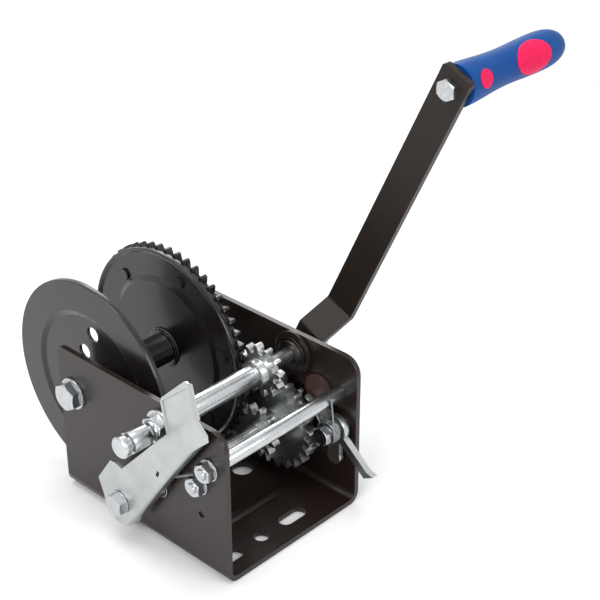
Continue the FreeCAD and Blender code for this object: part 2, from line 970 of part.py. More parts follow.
# Turn of each gear, so that teeth meet gaps on every line between two shafts.
drum_turn = bearing(DRUM, DRIVE)
drive_turn = bearing(DRIVE, DRUM) + 180 / value("dims.pinion_teeth")
to_middle = bearing(DRUM, MIDDLE)
drum_pitch = 360 / value("dims.drum_teeth")
drum_gap_offset = (drum_turn - to_middle + drum_pitch / 2) % drum_pitch - drum_pitch / 2
middle_tooth = to_middle + 180 - drum_gap_offset * value("dims.drum_teeth / dims.pinion_teeth")
middle_pinion_turn = middle_tooth + 180 / value("dims.pinion_teeth")
pinion_pitch = 360 / value("dims.pinion_teeth")
to_large = bearing(DRIVE, MIDDLE)
drive_tooth = bearing(DRIVE, DRUM)
tooth_offset = (drive_tooth - to_large + pinion_pitch / 2) % pinion_pitch - pinion_pitch / 2
large_turn = to_large + 180 - tooth_offset * value("dims.pinion_teeth / dims.large_teeth")

drum_gear_blank = at(
    spur_gear("drum_gear_blank", "dims.drum_teeth", "dims.drum_gear_face"),
    "dims.flange_right",
    *DRUM,
    spun(drum_turn),
)
finished(
    "drum_gear",
    cut(
        "drum_gear",
        drum_gear_blank,
        rod("drum_gear_bore", "dims.hub_radius", "dims.flange_right - 1", "dims.drum_gear_face + 2", DRUM),
        *[
            rod(
                f"gear_rivet_hole_{n}",
                "dims.rivet_radius",
                "dims.flange_right - 1",
                "dims.cutter_length",
                rivet_spot(n),
            )
            for n in range(rivet_count)
        ],
    ),
)


def rivet(number):
    """One rivet through the flange and the gear."""
    spot = rivet_spot(number)
    inner = "dims.flange_right - dims.flange_gauge"
    name = f"rivet_{number}"
    return fuse(
        name,
        rod(f"{name}_head", "dims.rivet_head", f"{inner} - dims.rivet_rise", "dims.rivet_rise", spot),
        rod(f"{name}_shank", "dims.rivet_radius", inner, f"{HUB_END} - ({inner})", spot),
        rod(f"{name}_tail", "dims.rivet_head", HUB_END, "dims.rivet_rise", spot),
    )


finished("drum_rivets", group("drum_rivets", *[rivet(n) for n in range(rivet_count)]))


# ---------------------------------------------------------------- intermediate shaft
CLIP_LEFT = f"{LEFT_OUT} - dims.shaft_clip_gap - dims.shaft_clip_gauge"
CLIP_RIGHT = f"{RIGHT_OUT} + dims.shaft_clip_gap"
finished(
    "intermediate_shaft",
    rod(
        "intermediate_shaft",
        "dims.middle_shaft_radius",
        f"{CLIP_LEFT} - dims.shaft_tail",
        f"{CLIP_RIGHT} + dims.shaft_clip_gauge - ({CLIP_LEFT}) + 2 * dims.shaft_tail",
        MIDDLE,
    ),
)
finished(
    "intermediate_clips",
    group(
        "intermediate_clips",
        *[
            ring(
                f"intermediate_clip_{side}",
                "dims.shaft_clip_radius",
                "dims.middle_shaft_radius",
                start,
                "dims.shaft_clip_gauge",
                MIDDLE,
            )
            for side, start in (("left", CLIP_LEFT), ("right", CLIP_RIGHT))
        ],
    ),
)


def middle_bush(name, side):
    """A flanged bush pressed into one side plate for the intermediate shaft."""
    left = side == "left"
    body_start = LEFT_OUT if left else f"{RIGHT_IN} - dims.middle_bush_flange"
    flange_start = LEFT_IN if left else f"{RIGHT_IN} - dims.middle_bush_flange"
    length = "dims.plate_gauge + dims.middle_bush_flange"
    return cut(
        name,
        fuse(
            f"{name}_solid",
            rod(f"{name}_body", "dims.middle_bush_radius", body_start, length, MIDDLE),
            rod(f"{name}_flange", "dims.middle_bush_rim", flange_start, "dims.middle_bush_flange", MIDDLE),
        ),
        rod(f"{name}_bore", "dims.middle_shaft_radius + dims.running", body_start, length, MIDDLE),
    )


finished(
    "intermediate_bushes",
    group(
        "intermediate_bushes",
        middle_bush("intermediate_bush_left", "left"),
        middle_bush("intermediate_bush_right", "right"),
    ),
)


def bored(name, blank, radius, start, length, spot):
    """A blank with a round bore along X."""
    return cut(name, blank, rod(f"{name}_bore", radius, start, length, spot))


middle_pinion_blank = at(
    spur_gear("middle_pinion_blank", "dims.pinion_teeth", "dims.middle_pinion_face"),
    "dims.middle_pinion_start",
    *MIDDLE,
    spun(middle_pinion_turn),
)
SLEEVE_START = "dims.middle_pinion_start + dims.middle_pinion_face"
finished(
    "intermediate_pinion",
    bored(
        "intermediate_pinion",
        fuse(
            "intermediate_pinion_solid",
            middle_pinion_blank,
            rod(
                "intermediate_pinion_hub",
                "dims.middle_sleeve_radius",
                SLEEVE_START,
                f"dims.large_gear_start - ({SLEEVE_START})",
                MIDDLE,
            ),
        ),
        "dims.middle_shaft_radius",
        "dims.middle_pinion_start - 1",
        "dims.large_gear_start - dims.middle_pinion_start + 2",
        MIDDLE,
    ),
)
large_blank = at(
    spur_gear("large_blank", "dims.large_teeth", "dims.large_gear_face"),
    "dims.large_gear_start",
    *MIDDLE,
    spun(large_turn),
)
finished(
    "intermediate_gear",
    bored(
        "intermediate_gear",
        large_blank,
        "dims.middle_shaft_radius",
        "dims.large_gear_start - 1",
        "dims.large_gear_face + 2",
        MIDDLE,
    ),
)


# ---------------------------------------------------------------- ratchet wheel
def ratchet_points():
    """The space between two ratchet teeth, centred on the +Y direction."""
    half_pitch = 180 / value("dims.ratchet_teeth")
    tip = value("dims.ratchet_tip")
    root = value("dims.ratchet_root")
    tip_angle = math.radians(half_pitch - value("dims.ratchet_tip_arc") / 2)
    root_angle = math.radians(half_pitch - value("dims.ratchet_root_arc") / 2)
    beyond = tip_angle + (tip_angle - root_angle) / (tip - root)
    side = [
        (root * math.cos(root_angle), root * math.sin(root_angle)),
        (tip * math.cos(tip_angle), tip * math.sin(tip_angle)),
        ((tip + 1) * math.cos(beyond), (tip + 1) * math.sin(beyond)),
    ]
    return [(root, 0)] + side + [(across, -up) for across, up in reversed(side)]


ratchet_disc = doc.addObject("PartDesign::Body", "ratchet_disc")
ratchet_pad = ratchet_disc.newObject("PartDesign::Pad", "ratchet_pad")
ratchet_pad.Profile = disc_sketch(ratchet_disc, "YZ_Plane", "ratchet_circle", "dims.ratchet_tip")
bind(ratchet_pad, {"Length": "dims.ratchet_face"})
ratchet_gap = ratchet_disc.newObject("PartDesign::Pocket", "ratchet_gap")
ratchet_gap.Profile = polygon(ratchet_disc, "YZ_Plane", "ratchet_space", ratchet_points())
ratchet_gap.SideType = "Symmetric"
bind(ratchet_gap, {"Length": "3 * dims.ratchet_face"})
circular(ratchet_disc, ratchet_gap, "ratchet_gaps", "dims.ratchet_teeth")
at(ratchet_disc, "dims.ratchet_start", *MIDDLE, spun(bearing(MIDDLE, PAWL) + value("dims.ratchet_phase")))
LARGE_END = "dims.large_gear_start + dims.large_gear_face"
RATCHET_HUB_END = f"{RIGHT_IN} - dims.middle_bush_flange - dims.side_play"
finished(
    "ratchet_wheel",
    bored(
        "ratchet_wheel",
        fuse(
            "ratchet_solid",
            ratchet_disc,
            rod(
                "ratchet_hub",
                "dims.middle_sleeve_radius",
                LARGE_END,
                f"{RATCHET_HUB_END} - ({LARGE_END})",
                MIDDLE,
            ),
        ),
        "dims.middle_shaft_radius",
        f"{LARGE_END} - 1",
        f"{RATCHET_HUB_END} - ({LARGE_END}) + 2",
        MIDDLE,
    ),
)


# ---------------------------------------------------------------- drive shaft
def shaft_groove(name, start):
    """A square groove turned into the drive shaft."""
    return ring(name, "dims.drive_radius + 1", "dims.groove_radius", start, "dims.groove_width", DRIVE)


LOCK_MIDDLE = "dims.lever_start + dims.lever_gauge / 2"
HIGH_GROOVE = f"{LOCK_MIDDLE} - dims.groove_width / 2"
LOW_GROOVE = f"{HIGH_GROOVE} - dims.shift_travel"
THREAD_END = (
    "dims.crank_start + dims.crank_gauge + dims.crank_washer_gauge + dims.crank_nut_height"
    " + dims.lock_collar_height + dims.thread_tail"
)
PINION_HUB_START = "dims.drive_pinion_start - dims.pinion_hub_length"
PIN_SPOT = f"{PINION_HUB_START} + dims.pinion_hub_length / 2"


def roll_pin(name, radius, reach):
    """A pin or its hole, straight up through the pinion's hub."""
    pin = doc.addObject("Part::Cylinder", name)
    bind(pin, {"Radius": radius, "Height": f"2 * {reach}"})
    return at(pin, PIN_SPOT, DRIVE[0], f"{DRIVE[1]} - {reach}")


PINION_END = "dims.drive_pinion_start + dims.drive_pinion_face"
shaft_end = doc.addObject("Part::Cone", "shaft_end")
bind(shaft_end, {"Radius1": "dims.drive_radius - dims.shaft_chamfer", "Radius2": "dims.drive_radius"})
bind(shaft_end, {"Height": "dims.shaft_chamfer"})
at(shaft_end, "dims.drive_left", *DRIVE, ALONG_X)
SHAFT_BODY = "dims.drive_left + dims.shaft_chamfer"
finished(
    "drive_shaft",
    cut(
        "drive_shaft",
        fuse(
            "drive_shaft_solid",
            shaft_end,
            rod("drive_shaft_bar", "dims.drive_radius", SHAFT_BODY, f"{PINION_END} - ({SHAFT_BODY})", DRIVE),
            rod(
                "drive_shaft_neck",
                "dims.drive_neck",
                PINION_END,
                f"dims.crank_start - ({PINION_END})",
                DRIVE,
            ),
            rod(
                "drive_shaft_thread",
                "dims.crank_thread",
                "dims.crank_start",
                f"{THREAD_END} - dims.crank_start",
                DRIVE,
            ),
        ),
        shaft_groove("high_groove", HIGH_GROOVE),
        shaft_groove("low_groove", LOW_GROOVE),
        roll_pin("shaft_pin_hole", "dims.roll_pin_radius", "dims.pinion_hub_radius"),
    ),
)
drive_pinion_blank = at(
    spur_gear("drive_pinion_blank", "dims.pinion_teeth", "dims.drive_pinion_face"),
    "dims.drive_pinion_start",
    *DRIVE,
    spun(drive_turn),
)
finished(
    "drive_pinion",
    cut(
        "drive_pinion",
        fuse(
            "drive_pinion_solid",
            drive_pinion_blank,
            rod(
                "drive_pinion_hub",
                "dims.pinion_hub_radius",
                PINION_HUB_START,
                "dims.pinion_hub_length",
                DRIVE,
            ),
        ),
        rod(
            "drive_pinion_bore",
            "dims.drive_radius",
            f"{PINION_HUB_START} - 1",
            "dims.pinion_hub_length + dims.drive_pinion_face + 2",
            DRIVE,
        ),
        roll_pin("pinion_pin_hole", "dims.roll_pin_radius", "dims.pinion_hub_radius"),
    ),
)
finished("pinion_pin", roll_pin("pinion_pin", "dims.roll_pin_radius", "dims.pinion_hub_radius"))
def drive_bush(name, side):
    """A bush that turns in the side plate and carries the sliding shaft."""
    left = side == "left"
    flange_start = (
        f"{LEFT_OUT} - dims.drive_bush_flange - dims.side_play / 2"
        if left
        else f"{RIGHT_OUT} + dims.side_play / 2"
    )
    tail = "dims.drive_bush_tail" if left else "dims.drive_bush_tail + dims.bearing_plate_gauge"
    length = f"dims.plate_gauge + {tail} + dims.side_play / 2 + dims.drive_bush_flange"
    body_start = flange_start if left else f"{RIGHT_IN} - ({tail})"
    solids = [
        rod(f"{name}_body", "dims.drive_bush_radius", body_start, length, DRIVE),
        rod(f"{name}_flange", "dims.drive_bush_rim", flange_start, "dims.drive_bush_flange", DRIVE),
    ]
    bore_start, bore_length = body_start, length
    if left:
        bore_start = f"{flange_start} - dims.bush_hex_length"
        bore_length = f"{length} + dims.bush_hex_length"
        solids.append(
            hexagon(f"{name}_hex", "dims.bush_hex_flats", bore_start, "dims.bush_hex_length", DRIVE)
        )
    shaft = "dims.drive_radius" if left else "dims.drive_neck"
    bore = rod(f"{name}_bore", f"{shaft} + dims.running", bore_start, bore_length, DRIVE)
    return cut(name, fuse(f"{name}_solid", *solids), bore)


finished("left_bush", drive_bush("left_bush", "left"))
finished("right_bush", drive_bush("right_bush", "right"))
finished(
    "bush_clips",
    group(
        "bush_clips",
        *[
            ring(
                f"bush_clip_{side}",
                "dims.bush_clip_radius",
                "dims.drive_bush_radius",
                start,
                "dims.bush_clip_gauge",
                DRIVE,
            )
            for side, start in (
                ("left", f"{LEFT_IN} + dims.side_play"),
                ("right", f"{RIGHT_IN} - dims.bearing_plate_gauge - dims.side_play - dims.bush_clip_gauge"),
            )
        ],
    ),
)
finished(
    "bearing_plate",
    ring(
        "bearing_plate",
        "dims.bearing_plate_radius",
        "dims.drive_bush_radius + dims.running",
        f"{RIGHT_IN} - dims.bearing_plate_gauge",
        "dims.bearing_plate_gauge",
        DRIVE,
    ),
)


# ---------------------------------------------------------------- crank and grip
hub_in = "dims.crank_start"
hub_out = "dims.crank_start + dims.crank_gauge"
arm_in = "dims.crank_start + dims.crank_offset"
arm_out = "dims.crank_start + dims.crank_offset + dims.crank_gauge"
SHEAR = "dims.crank_gauge * 0.55"
crank_body, crank_pad = padded(
    "crank_blank",
    "XZ_Plane",
    (
        (hub_in, "-dims.crank_width / 2"),
        (hub_out, "-dims.crank_width / 2"),
        (hub_out, f"dims.bend_start - {SHEAR}"),
        (arm_out, f"dims.bend_end - {SHEAR}"),
        (arm_out, "dims.crank_reach + dims.crank_end"),
        (arm_in, "dims.crank_reach + dims.crank_end"),
        (arm_in, "dims.bend_end"),
        (hub_in, "dims.bend_start"),
    ),
    "dims.crank_width",
    "Symmetric",
)


def crank_bend(edge):
    """The four bend lines of the crank arm."""
    height = edge.Vertexes[0].Z
    low = value(f"dims.bend_start - {SHEAR}") - 1e-6
    return runs_along(edge, 1) and low < height < value("dims.bend_end") + 1e-6


def crank_corner(edge):
    """The corners at the two ends of the crank arm."""
    height = edge.CenterOfMass.z
    ends = (value("-dims.crank_width / 2"), value("dims.crank_reach + dims.crank_end"))
    return runs_along(edge, 0) and min(abs(height - end) for end in ends) < 1e-6


crank_bends = rounded(crank_body, crank_pad, "crank_bends", "dims.crank_bend_inside", crank_bend)
rounded(crank_body, crank_bends, "crank_corners", "dims.crank_corner", crank_corner)
at(crank_body, "0", *DRIVE, spun(value("dims.crank_lean")))
GRIP = (
    f"{DRIVE[0]} - dims.crank_reach * sin(dims.crank_lean * 1 deg)",
    f"{DRIVE[1]} + dims.crank_reach * cos(dims.crank_lean * 1 deg)",
)
finished(
    "crank_arm",
    cut(
        "crank_arm",
        crank_body,
        rod("crank_shaft_hole", "dims.crank_thread", "dims.crank_start - 1", "dims.crank_gauge + 2", DRIVE),
        rod("crank_grip_hole", "dims.grip_bolt_radius", f"{arm_in} - 1", "dims.crank_gauge + 2", GRIP),
    ),
)
CRANK_NUT_START = "dims.crank_start + dims.crank_gauge + dims.crank_washer_gauge"
finished(
    "crank_washer",
    ring(
        "crank_washer",
        "dims.crank_washer_radius",
        "dims.crank_thread",
        "dims.crank_start + dims.crank_gauge",
        "dims.crank_washer_gauge",
        DRIVE,
    ),
)
finished(
    "crank_nut",
    lock_nut(
        "crank_nut",
        "dims.crank_nut_flats",
        "dims.crank_thread",
        CRANK_NUT_START,
        "dims.crank_nut_height",
        "dims.lock_collar_height",
        DRIVE,
    ),
)
GRIP_START = f"{arm_out} + dims.grip_washer_gauge + dims.side_play"
GRIP_END = f"{GRIP_START} + dims.grip_length"
RECESS_START = f"{GRIP_END} - dims.grip_recess_depth"
finished(
    "grip_bolt",
    fuse(
        "grip_bolt",
        hexagon(
            "grip_bolt_head",
            "dims.grip_head_flats",
            f"{arm_in} - dims.grip_head_height",
            "dims.grip_head_height",
            GRIP,
        ),
        rod(
            "grip_bolt_shank",
            "dims.grip_bolt_radius",
            arm_in,
            f"{RECESS_START} + dims.side_play + dims.grip_nut_height - ({arm_in})",
            GRIP,
        ),
    ),
)
finished(
    "grip_washer",
    ring(
        "grip_washer",
        "dims.grip_washer_radius",
        "dims.grip_bolt_radius",
        arm_out,
        "dims.grip_washer_gauge",
        GRIP,
    ),
)
finished(
    "grip_nut",
    bored(
        "grip_nut",
        hexagon(
            "grip_nut_hex",
            "dims.grip_nut_flats",
            f"{RECESS_START} + dims.side_play",
            "dims.grip_nut_height",
            GRIP,
        ),
        "dims.grip_bolt_radius",
        f"{RECESS_START} - 1",
        "dims.grip_nut_height + 2",
        GRIP,
    ),
)


GRIP_SECTIONS = (
    ("dims.grip_collar", 0),
    ("(dims.grip_collar + dims.grip_waist) / 2 + dims.grip_swell", 0.16),
    ("dims.grip_waist", 0.38),
    ("(dims.grip_waist + dims.grip_palm) / 2", 0.6),
    ("dims.grip_palm", 0.82),
    ("dims.grip_palm - dims.grip_fall", 0.93),
    ("dims.grip_tip", 1),
)


def grip_form(name, rise):
    """The grip's outer form, raised by an amount."""
    circles = []
    for n, (radius, share) in enumerate(GRIP_SECTIONS):
        circle = doc.addObject("Part::Circle", f"{name}_section_{n}")
        bind(circle, {"Radius": f"{radius} + {rise}"})
        circles.append(at(circle, f"{GRIP_START} + {share} * dims.grip_length", *GRIP, ALONG_X))
    form = doc.addObject("Part::Loft", name)
    form.Sections = circles
    form.Solid = True
    form.Ruled = False
    return form


def insert_block(name, place, length, width):
    """An oval block that stands out of the grip, from the floor of an insert."""
    oval = doc.addObject("Part::Ellipse", f"{name}_oval")
    bind(oval, {"MajorRadius": f"{length} / 2", "MinorRadius": f"{width} / 2 - 0.001"})
    foot = (
        f"{GRIP[0]} + dims.pad_floor * cos(dims.pad_facing * 1 deg)",
        f"{GRIP[1]} + dims.pad_floor * sin(dims.pad_facing * 1 deg)",
    )
    lean = "(dims.grip_palm - dims.pad_floor) * tan(dims.pad_lean * 1 deg)"
    at(oval, f"{GRIP_START} + {place} + {lean}", *foot, spun(value("dims.pad_facing - 90")))
    block = doc.addObject("Part::Extrusion", name)
    block.Base = oval
    facing = math.radians(value("dims.pad_facing"))
    block.DirMode = "Custom"
    toward_arm = -math.tan(math.radians(value("dims.pad_lean")))
    block.Dir = FreeCAD.Vector(toward_arm, math.cos(facing), math.sin(facing))
    block.Solid = True
    bind(block, {"LengthFwd": "2 * dims.grip_collar"})
    return block


def insert(name, block):
    """One soft insert, standing a little proud of the grip."""
    raised = doc.addObject("Part::Common", name)
    raised.Base = grip_form(f"{name}_skin", "dims.pad_rise")
    raised.Tool = block
    return raised


pad_block = insert_block("pad_block", "dims.pad_place", "dims.pad_length", "dims.pad_width")
button_block = insert_block("button_block", "dims.button_place", "dims.button_width", "dims.button_width")
finished(
    "grip",
    cut(
        "grip",
        grip_form("grip_form", "0"),
        rod("grip_bore", "dims.grip_bore", f"{GRIP_START} - 1", "dims.grip_length + 2", GRIP),
        rod("grip_recess", "dims.grip_recess", RECESS_START, "dims.grip_recess_depth + 1", GRIP),
        pad_block,
        button_block,
    ),
)
finished("grip_pads", group("grip_pads", insert("palm_pad", pad_block), insert("button_pad", button_block)))


def capped(name, radius, start, length, dome, spot):
    """A plug with a bevelled outer end."""
    crown = doc.addObject("Part::Cone", f"{name}_crown")
    bind(crown, {"Radius1": radius, "Radius2": f"{radius} - 2 * {dome}", "Height": dome})
    at(crown, f"{start} + {length}", *spot, ALONG_X)
    return fuse(name, rod(f"{name}_plug", radius, start, length, spot), crown)


finished(
    "grip_cap",
    capped(
        "grip_cap",
        "dims.grip_recess",
        f"{GRIP_END} - dims.grip_cap_length",
        "dims.grip_cap_length",
        "dims.grip_cap_dome",
        GRIP,
    ),
)


# ---------------------------------------------------------------- tie bolt
def small_washer(name, start, spot):
    """A plain washer for the M8 bolts."""
    radius = "dims.small_washer_radius"
    return ring(name, radius, "dims.tie_bolt_radius", start, "dims.small_washer_gauge", spot)


def small_nut(name, start, spot, turned="left"):
    """A plain M8 nut."""
    length = "dims.small_nut_height"
    blank = hexagon(f"{name}_hex", "dims.small_flats", start, length, spot, turned)
    return bored(name, blank, "dims.tie_bolt_radius", start, length, spot)


WASHER_LEFT = f"{LEFT_OUT} - dims.small_washer_gauge"
NUT_LEFT = f"{WASHER_LEFT} - dims.small_nut_height"
WASHER_RIGHT_END = f"{RIGHT_OUT} + dims.small_washer_gauge"
finished(
    "tie_bolt",
    fuse(
        "tie_bolt",
        rod(
            "tie_bolt_shank",
            "dims.tie_bolt_radius",
            f"{NUT_LEFT} - dims.thread_tail",
            f"{WASHER_RIGHT_END} - ({NUT_LEFT}) + dims.thread_tail",
            TIE,
        ),
        hexagon(
            "tie_bolt_head", "dims.small_flats", WASHER_RIGHT_END, "dims.small_head_height", TIE, "right"
        ),
    ),
)
finished(
    "tie_tube",
    ring(
        "tie_tube",
        "dims.tie_tube_radius",
        "dims.tie_bolt_radius + dims.bolt_play",
        LEFT_IN,
        f"{RIGHT_IN} - ({LEFT_IN})",
        TIE,
    ),
)
finished("tie_nut", small_nut("tie_nut", NUT_LEFT, TIE))
finished(
    "tie_washers",
    group(
        "tie_washers",
        small_washer("tie_washer_left", WASHER_LEFT, TIE),
        small_washer("tie_washer_right", RIGHT_OUT, TIE),
    ),
)


# ---------------------------------------------------------------- pawl
PAWL_HEAD = "dims.pawl_sleeve_start - dims.small_head_height"
finished(
    "pawl_bolt",
    fuse(
        "pawl_bolt",
        hexagon("pawl_bolt_head", "dims.small_flats", PAWL_HEAD, "dims.small_head_height", PAWL),
        rod(
            "pawl_bolt_shank",
            "dims.tie_bolt_radius",
            "dims.pawl_sleeve_start",
            f"{WASHER_RIGHT_END} + dims.small_nut_height + dims.thread_tail - dims.pawl_sleeve_start",
            PAWL,
        ),
    ),
)
finished("pawl_nut", small_nut("pawl_nut", WASHER_RIGHT_END, PAWL, "right"))
guard = ("dims.guard_y", "dims.guard_z")
finished(
    "pawl_guard",
    rod("pawl_guard", "dims.guard_radius", f"{RIGHT_IN} - dims.guard_gauge", "dims.guard_gauge", guard),
)
finished("pawl_washer", small_washer("pawl_washer", RIGHT_OUT, PAWL))
finished(
    "pawl_sleeve",
    ring(
        "pawl_sleeve",
        "dims.pawl_sleeve_radius",
        "dims.tie_bolt_radius + dims.bolt_play",
        "dims.pawl_sleeve_start",
        f"{RIGHT_IN} - dims.pawl_sleeve_start",
        PAWL,
    ),
)

pawl_line = bearing(PAWL, MIDDLE)


def about_pawl(reach, turn):
    """A point at a reach from the pawl's pivot, turned from the line to the ratchet."""
    angle = f"({pawl_line:.6f} deg + {turn})"
    return f"dims.pawl_y + {reach} * cos{angle}", f"dims.pawl_z + {reach} * sin{angle}"


# A nose that has swung in stands clear of the wheel's root, and one at rest is clear of its tips.
APART_PAWL = f"sqrt((dims.pawl_y - ({MIDDLE[0]})) ^ 2 + (dims.pawl_z - ({MIDDLE[1]})) ^ 2)"
BITE = "(dims.ratchet_root + dims.nose_clear)"
NOSE_REACH = f"sqrt({APART_PAWL} ^ 2 + {BITE} ^ 2 - 2 * {APART_PAWL} * {BITE} * cos(dims.nose_bite * 1 deg))"
FREE = "(dims.ratchet_tip + dims.nose_free)"
TIP_HALF = f"asin(dims.nose_tip / {NOSE_REACH})"
NOSE_TURN = (
    f"(acos(({APART_PAWL} ^ 2 + {NOSE_REACH} ^ 2 - {FREE} ^ 2) / (2 * {APART_PAWL} * {NOSE_REACH}))"
    f" + {TIP_HALF})"
)


def pawl_nose(name, sign):
    """One nose of the pawl, a wedge that narrows to its tip."""
    turn = f"{sign} * {NOSE_TURN}"
    points = (
        about_pawl("dims.nose_root", f"{turn} + 90 deg"),
        about_pawl("dims.nose_root", f"{turn} - 90 deg"),
        about_pawl(NOSE_REACH, f"{turn} - {TIP_HALF}"),
        about_pawl(NOSE_REACH, f"{turn} + {TIP_HALF}"),
    )
    body, _ = padded(name, "YZ_Plane", points, "dims.ratchet_face")
    return at(body, "dims.ratchet_start", "0", "0")


def pawl_bar(name, start, length, points):
    """A straight bar of the pawl."""
    body, _ = padded(name, "YZ_Plane", points, length)
    return at(body, start, "0", "0")


drop = "180 deg + dims.handle_drop * 1 deg"
along_y = f"cos({drop})"
along_z = f"sin({drop})"
half_depth = "dims.handle_depth / 2"
handle_points = tuple(
    (
        f"dims.pawl_y + ({reach}) * {along_y} - ({side}) * {along_z}",
        f"dims.pawl_z + ({reach}) * {along_z} + ({side}) * {along_y}",
    )
    for reach, side in (
        ("0", half_depth),
        ("dims.handle_reach - 1", half_depth),
        ("dims.handle_reach + dims.handle_hook", f"-{half_depth} - dims.handle_hook"),
        ("dims.handle_reach - 1", f"-{half_depth} - 1"),
        ("dims.handle_reach - 3", f"-{half_depth}"),
        ("0", f"-{half_depth}"),
    )
)
EAR = ("dims.pawl_y + dims.ear_across", "dims.pawl_z + dims.ear_up")
ear_points = (
    ("dims.pawl_y - 5", "dims.pawl_z + 6"),
    ("dims.pawl_y + 8", "dims.pawl_z - 2"),
    (f"{EAR[0]} + 0.7 * dims.ear_radius", f"{EAR[1]} - 0.7 * dims.ear_radius"),
    (f"{EAR[0]} - 0.7 * dims.ear_radius", f"{EAR[1]} + 0.7 * dims.ear_radius"),
)
tail_points = tuple(
    (f"dims.pawl_y + {side} * dims.tail_radius * 0.9", f"dims.pawl_z - {drop_share} * dims.tail_drop")
    for side, drop_share in ((-1, 0), (-1, 1), (1, 1), (1, 0))
)
handle_start = "dims.ratchet_start + dims.ratchet_face / 2 - dims.handle_gauge / 2"
finished(
    "pawl",
    bored(
        "pawl",
        fuse(
            "pawl_solid",
            rod("pawl_hub", "dims.pawl_hub_radius", handle_start, "dims.handle_gauge", PAWL),
            rod("pawl_ear", "dims.ear_radius", "dims.ratchet_start", "dims.ratchet_face", EAR),
            rod(
                "spring_peg",
                "dims.peg_radius",
                "dims.pawl_sleeve_start + 1",
                "dims.ratchet_start - dims.pawl_sleeve_start - 1",
                EAR,
            ),
            rod(
                "pawl_tail",
                "dims.tail_radius",
                "dims.ratchet_start",
                "dims.ratchet_face",
                ("dims.pawl_y", "dims.pawl_z - dims.tail_drop"),
            ),
            pawl_bar("pawl_tail_web", "dims.ratchet_start", "dims.ratchet_face", tail_points),
            pawl_bar("pawl_ear_web", "dims.ratchet_start", "dims.ratchet_face", ear_points),
            pawl_bar("pawl_handle", handle_start, "dims.handle_gauge", handle_points),
            pawl_nose("upper_nose", 1),
            pawl_nose("lower_nose", -1),
        ),
        "dims.pawl_sleeve_radius + dims.running",
        f"{handle_start} - 1",
        "dims.handle_gauge + 2",
        PAWL,
    ),
)


# ---------------------------------------------------------------- lock lever
# The outline is measured from the pivot. Its first two points are the ends of the edge that
# drops into a groove of the shaft, and stand clear of the shaft at rest.
EDGE_TURN = "dims.lock_edge_turn * 1 deg"


def on_edge(along):
    """A point of the locking edge, at a distance along it from the point nearest the shaft."""
    away = f"(dims.drive_radius + dims.release_gap)"
    return (
        f"{DRIVE[0]} - dims.lever_pivot_y - {away} * sin({EDGE_TURN}) + ({along}) * cos({EDGE_TURN})",
        f"{DRIVE[1]} - dims.lever_pivot_z + {away} * cos({EDGE_TURN}) + ({along}) * sin({EDGE_TURN})",
    )


fold_start = on_edge("dims.lock_edge_up")
fold_end = (
    f"{fold_start[0]} + dims.tab_width * cos(dims.fold_turn * 1 deg)",
    f"{fold_start[1]} + dims.tab_width * sin(dims.fold_turn * 1 deg)",
)
LEVER_CORNERS = (
    "cheek_top",
    "cheek_side",
    "cheek_foot",
    "waist",
    "heel",
    "sole_front",
    "sole_back",
    "back_foot",
    "back_side",
    "back_top",
    "crown_back",
    "crown_front",
)
lever_outline = (
    on_edge("-dims.lock_edge_down"),
    fold_start,
    fold_end,
) + tuple((f"dims.{corner}_y", f"dims.{corner}_z") for corner in LEVER_CORNERS)


def inside(corner, before, after):
    """A corner of the folded edge, moved in by the sheet's gauge."""
    spots = [
        FreeCAD.Vector(0, value(f"dims.{name}_y"), value(f"dims.{name}_z"))
        for name in (before, corner, after)
    ]
    ways = [(spots[n + 1] - spots[n]).normalize() for n in (0, 1) if spots[n + 1] != spots[n]]
    normals = [FreeCAD.Vector(0, -way.z, way.y) for way in ways]
    middle = sum(normals, FreeCAD.Vector()).normalize()
    moved = spots[1] + middle * (value("dims.lever_gauge") / middle.dot(normals[0]))
    return moved.y, moved.z


# The lower edge is folded over as a stiffening flange: this outline is cut away inside it.
FAR = value("2 * dims.lock_edge_down")
top_inside = inside("cheek_foot", "cheek_foot", "waist")
heel_inside = inside("heel", "waist", "heel")
flange_inside = (
    (FAR, FAR),
    (-FAR, 2 * FAR),
    (-FAR, top_inside[1]),
    top_inside,
    inside("waist", "cheek_foot", "heel"),
    heel_inside,
    (heel_inside[0], -FAR),
    (FAR, -FAR),
)
LEVER_DEPTH = "dims.lever_gauge + dims.lever_flange"
lever_body, lever_pad = padded("lever_blank", "YZ_Plane", lever_outline, LEVER_DEPTH)


def fold_edge(edge):
    """Whether an edge is an outer edge of the fold along the lever's lower side."""
    corners = [
        FreeCAD.Vector(0, value(f"dims.{name}_y"), value(f"dims.{name}_z"))
        for name in ("cheek_foot", "waist", "heel")
    ]
    near = [min(vertex.Point.distanceToPoint(corner) for corner in corners) for vertex in edge.Vertexes]
    return len(near) == 2 and max(near) < 1e-3


rounded(lever_body, lever_pad, "lever_fold", "dims.lever_fold", fold_edge)
lever_hollow, _ = padded("lever_hollow", "YZ_Plane", flange_inside, LEVER_DEPTH)
at(lever_hollow, "dims.lever_gauge", "0", "0")
lever_sheet = cut("lever_sheet", lever_body, lever_hollow)
at(lever_sheet, "dims.lever_start", *LEVER)

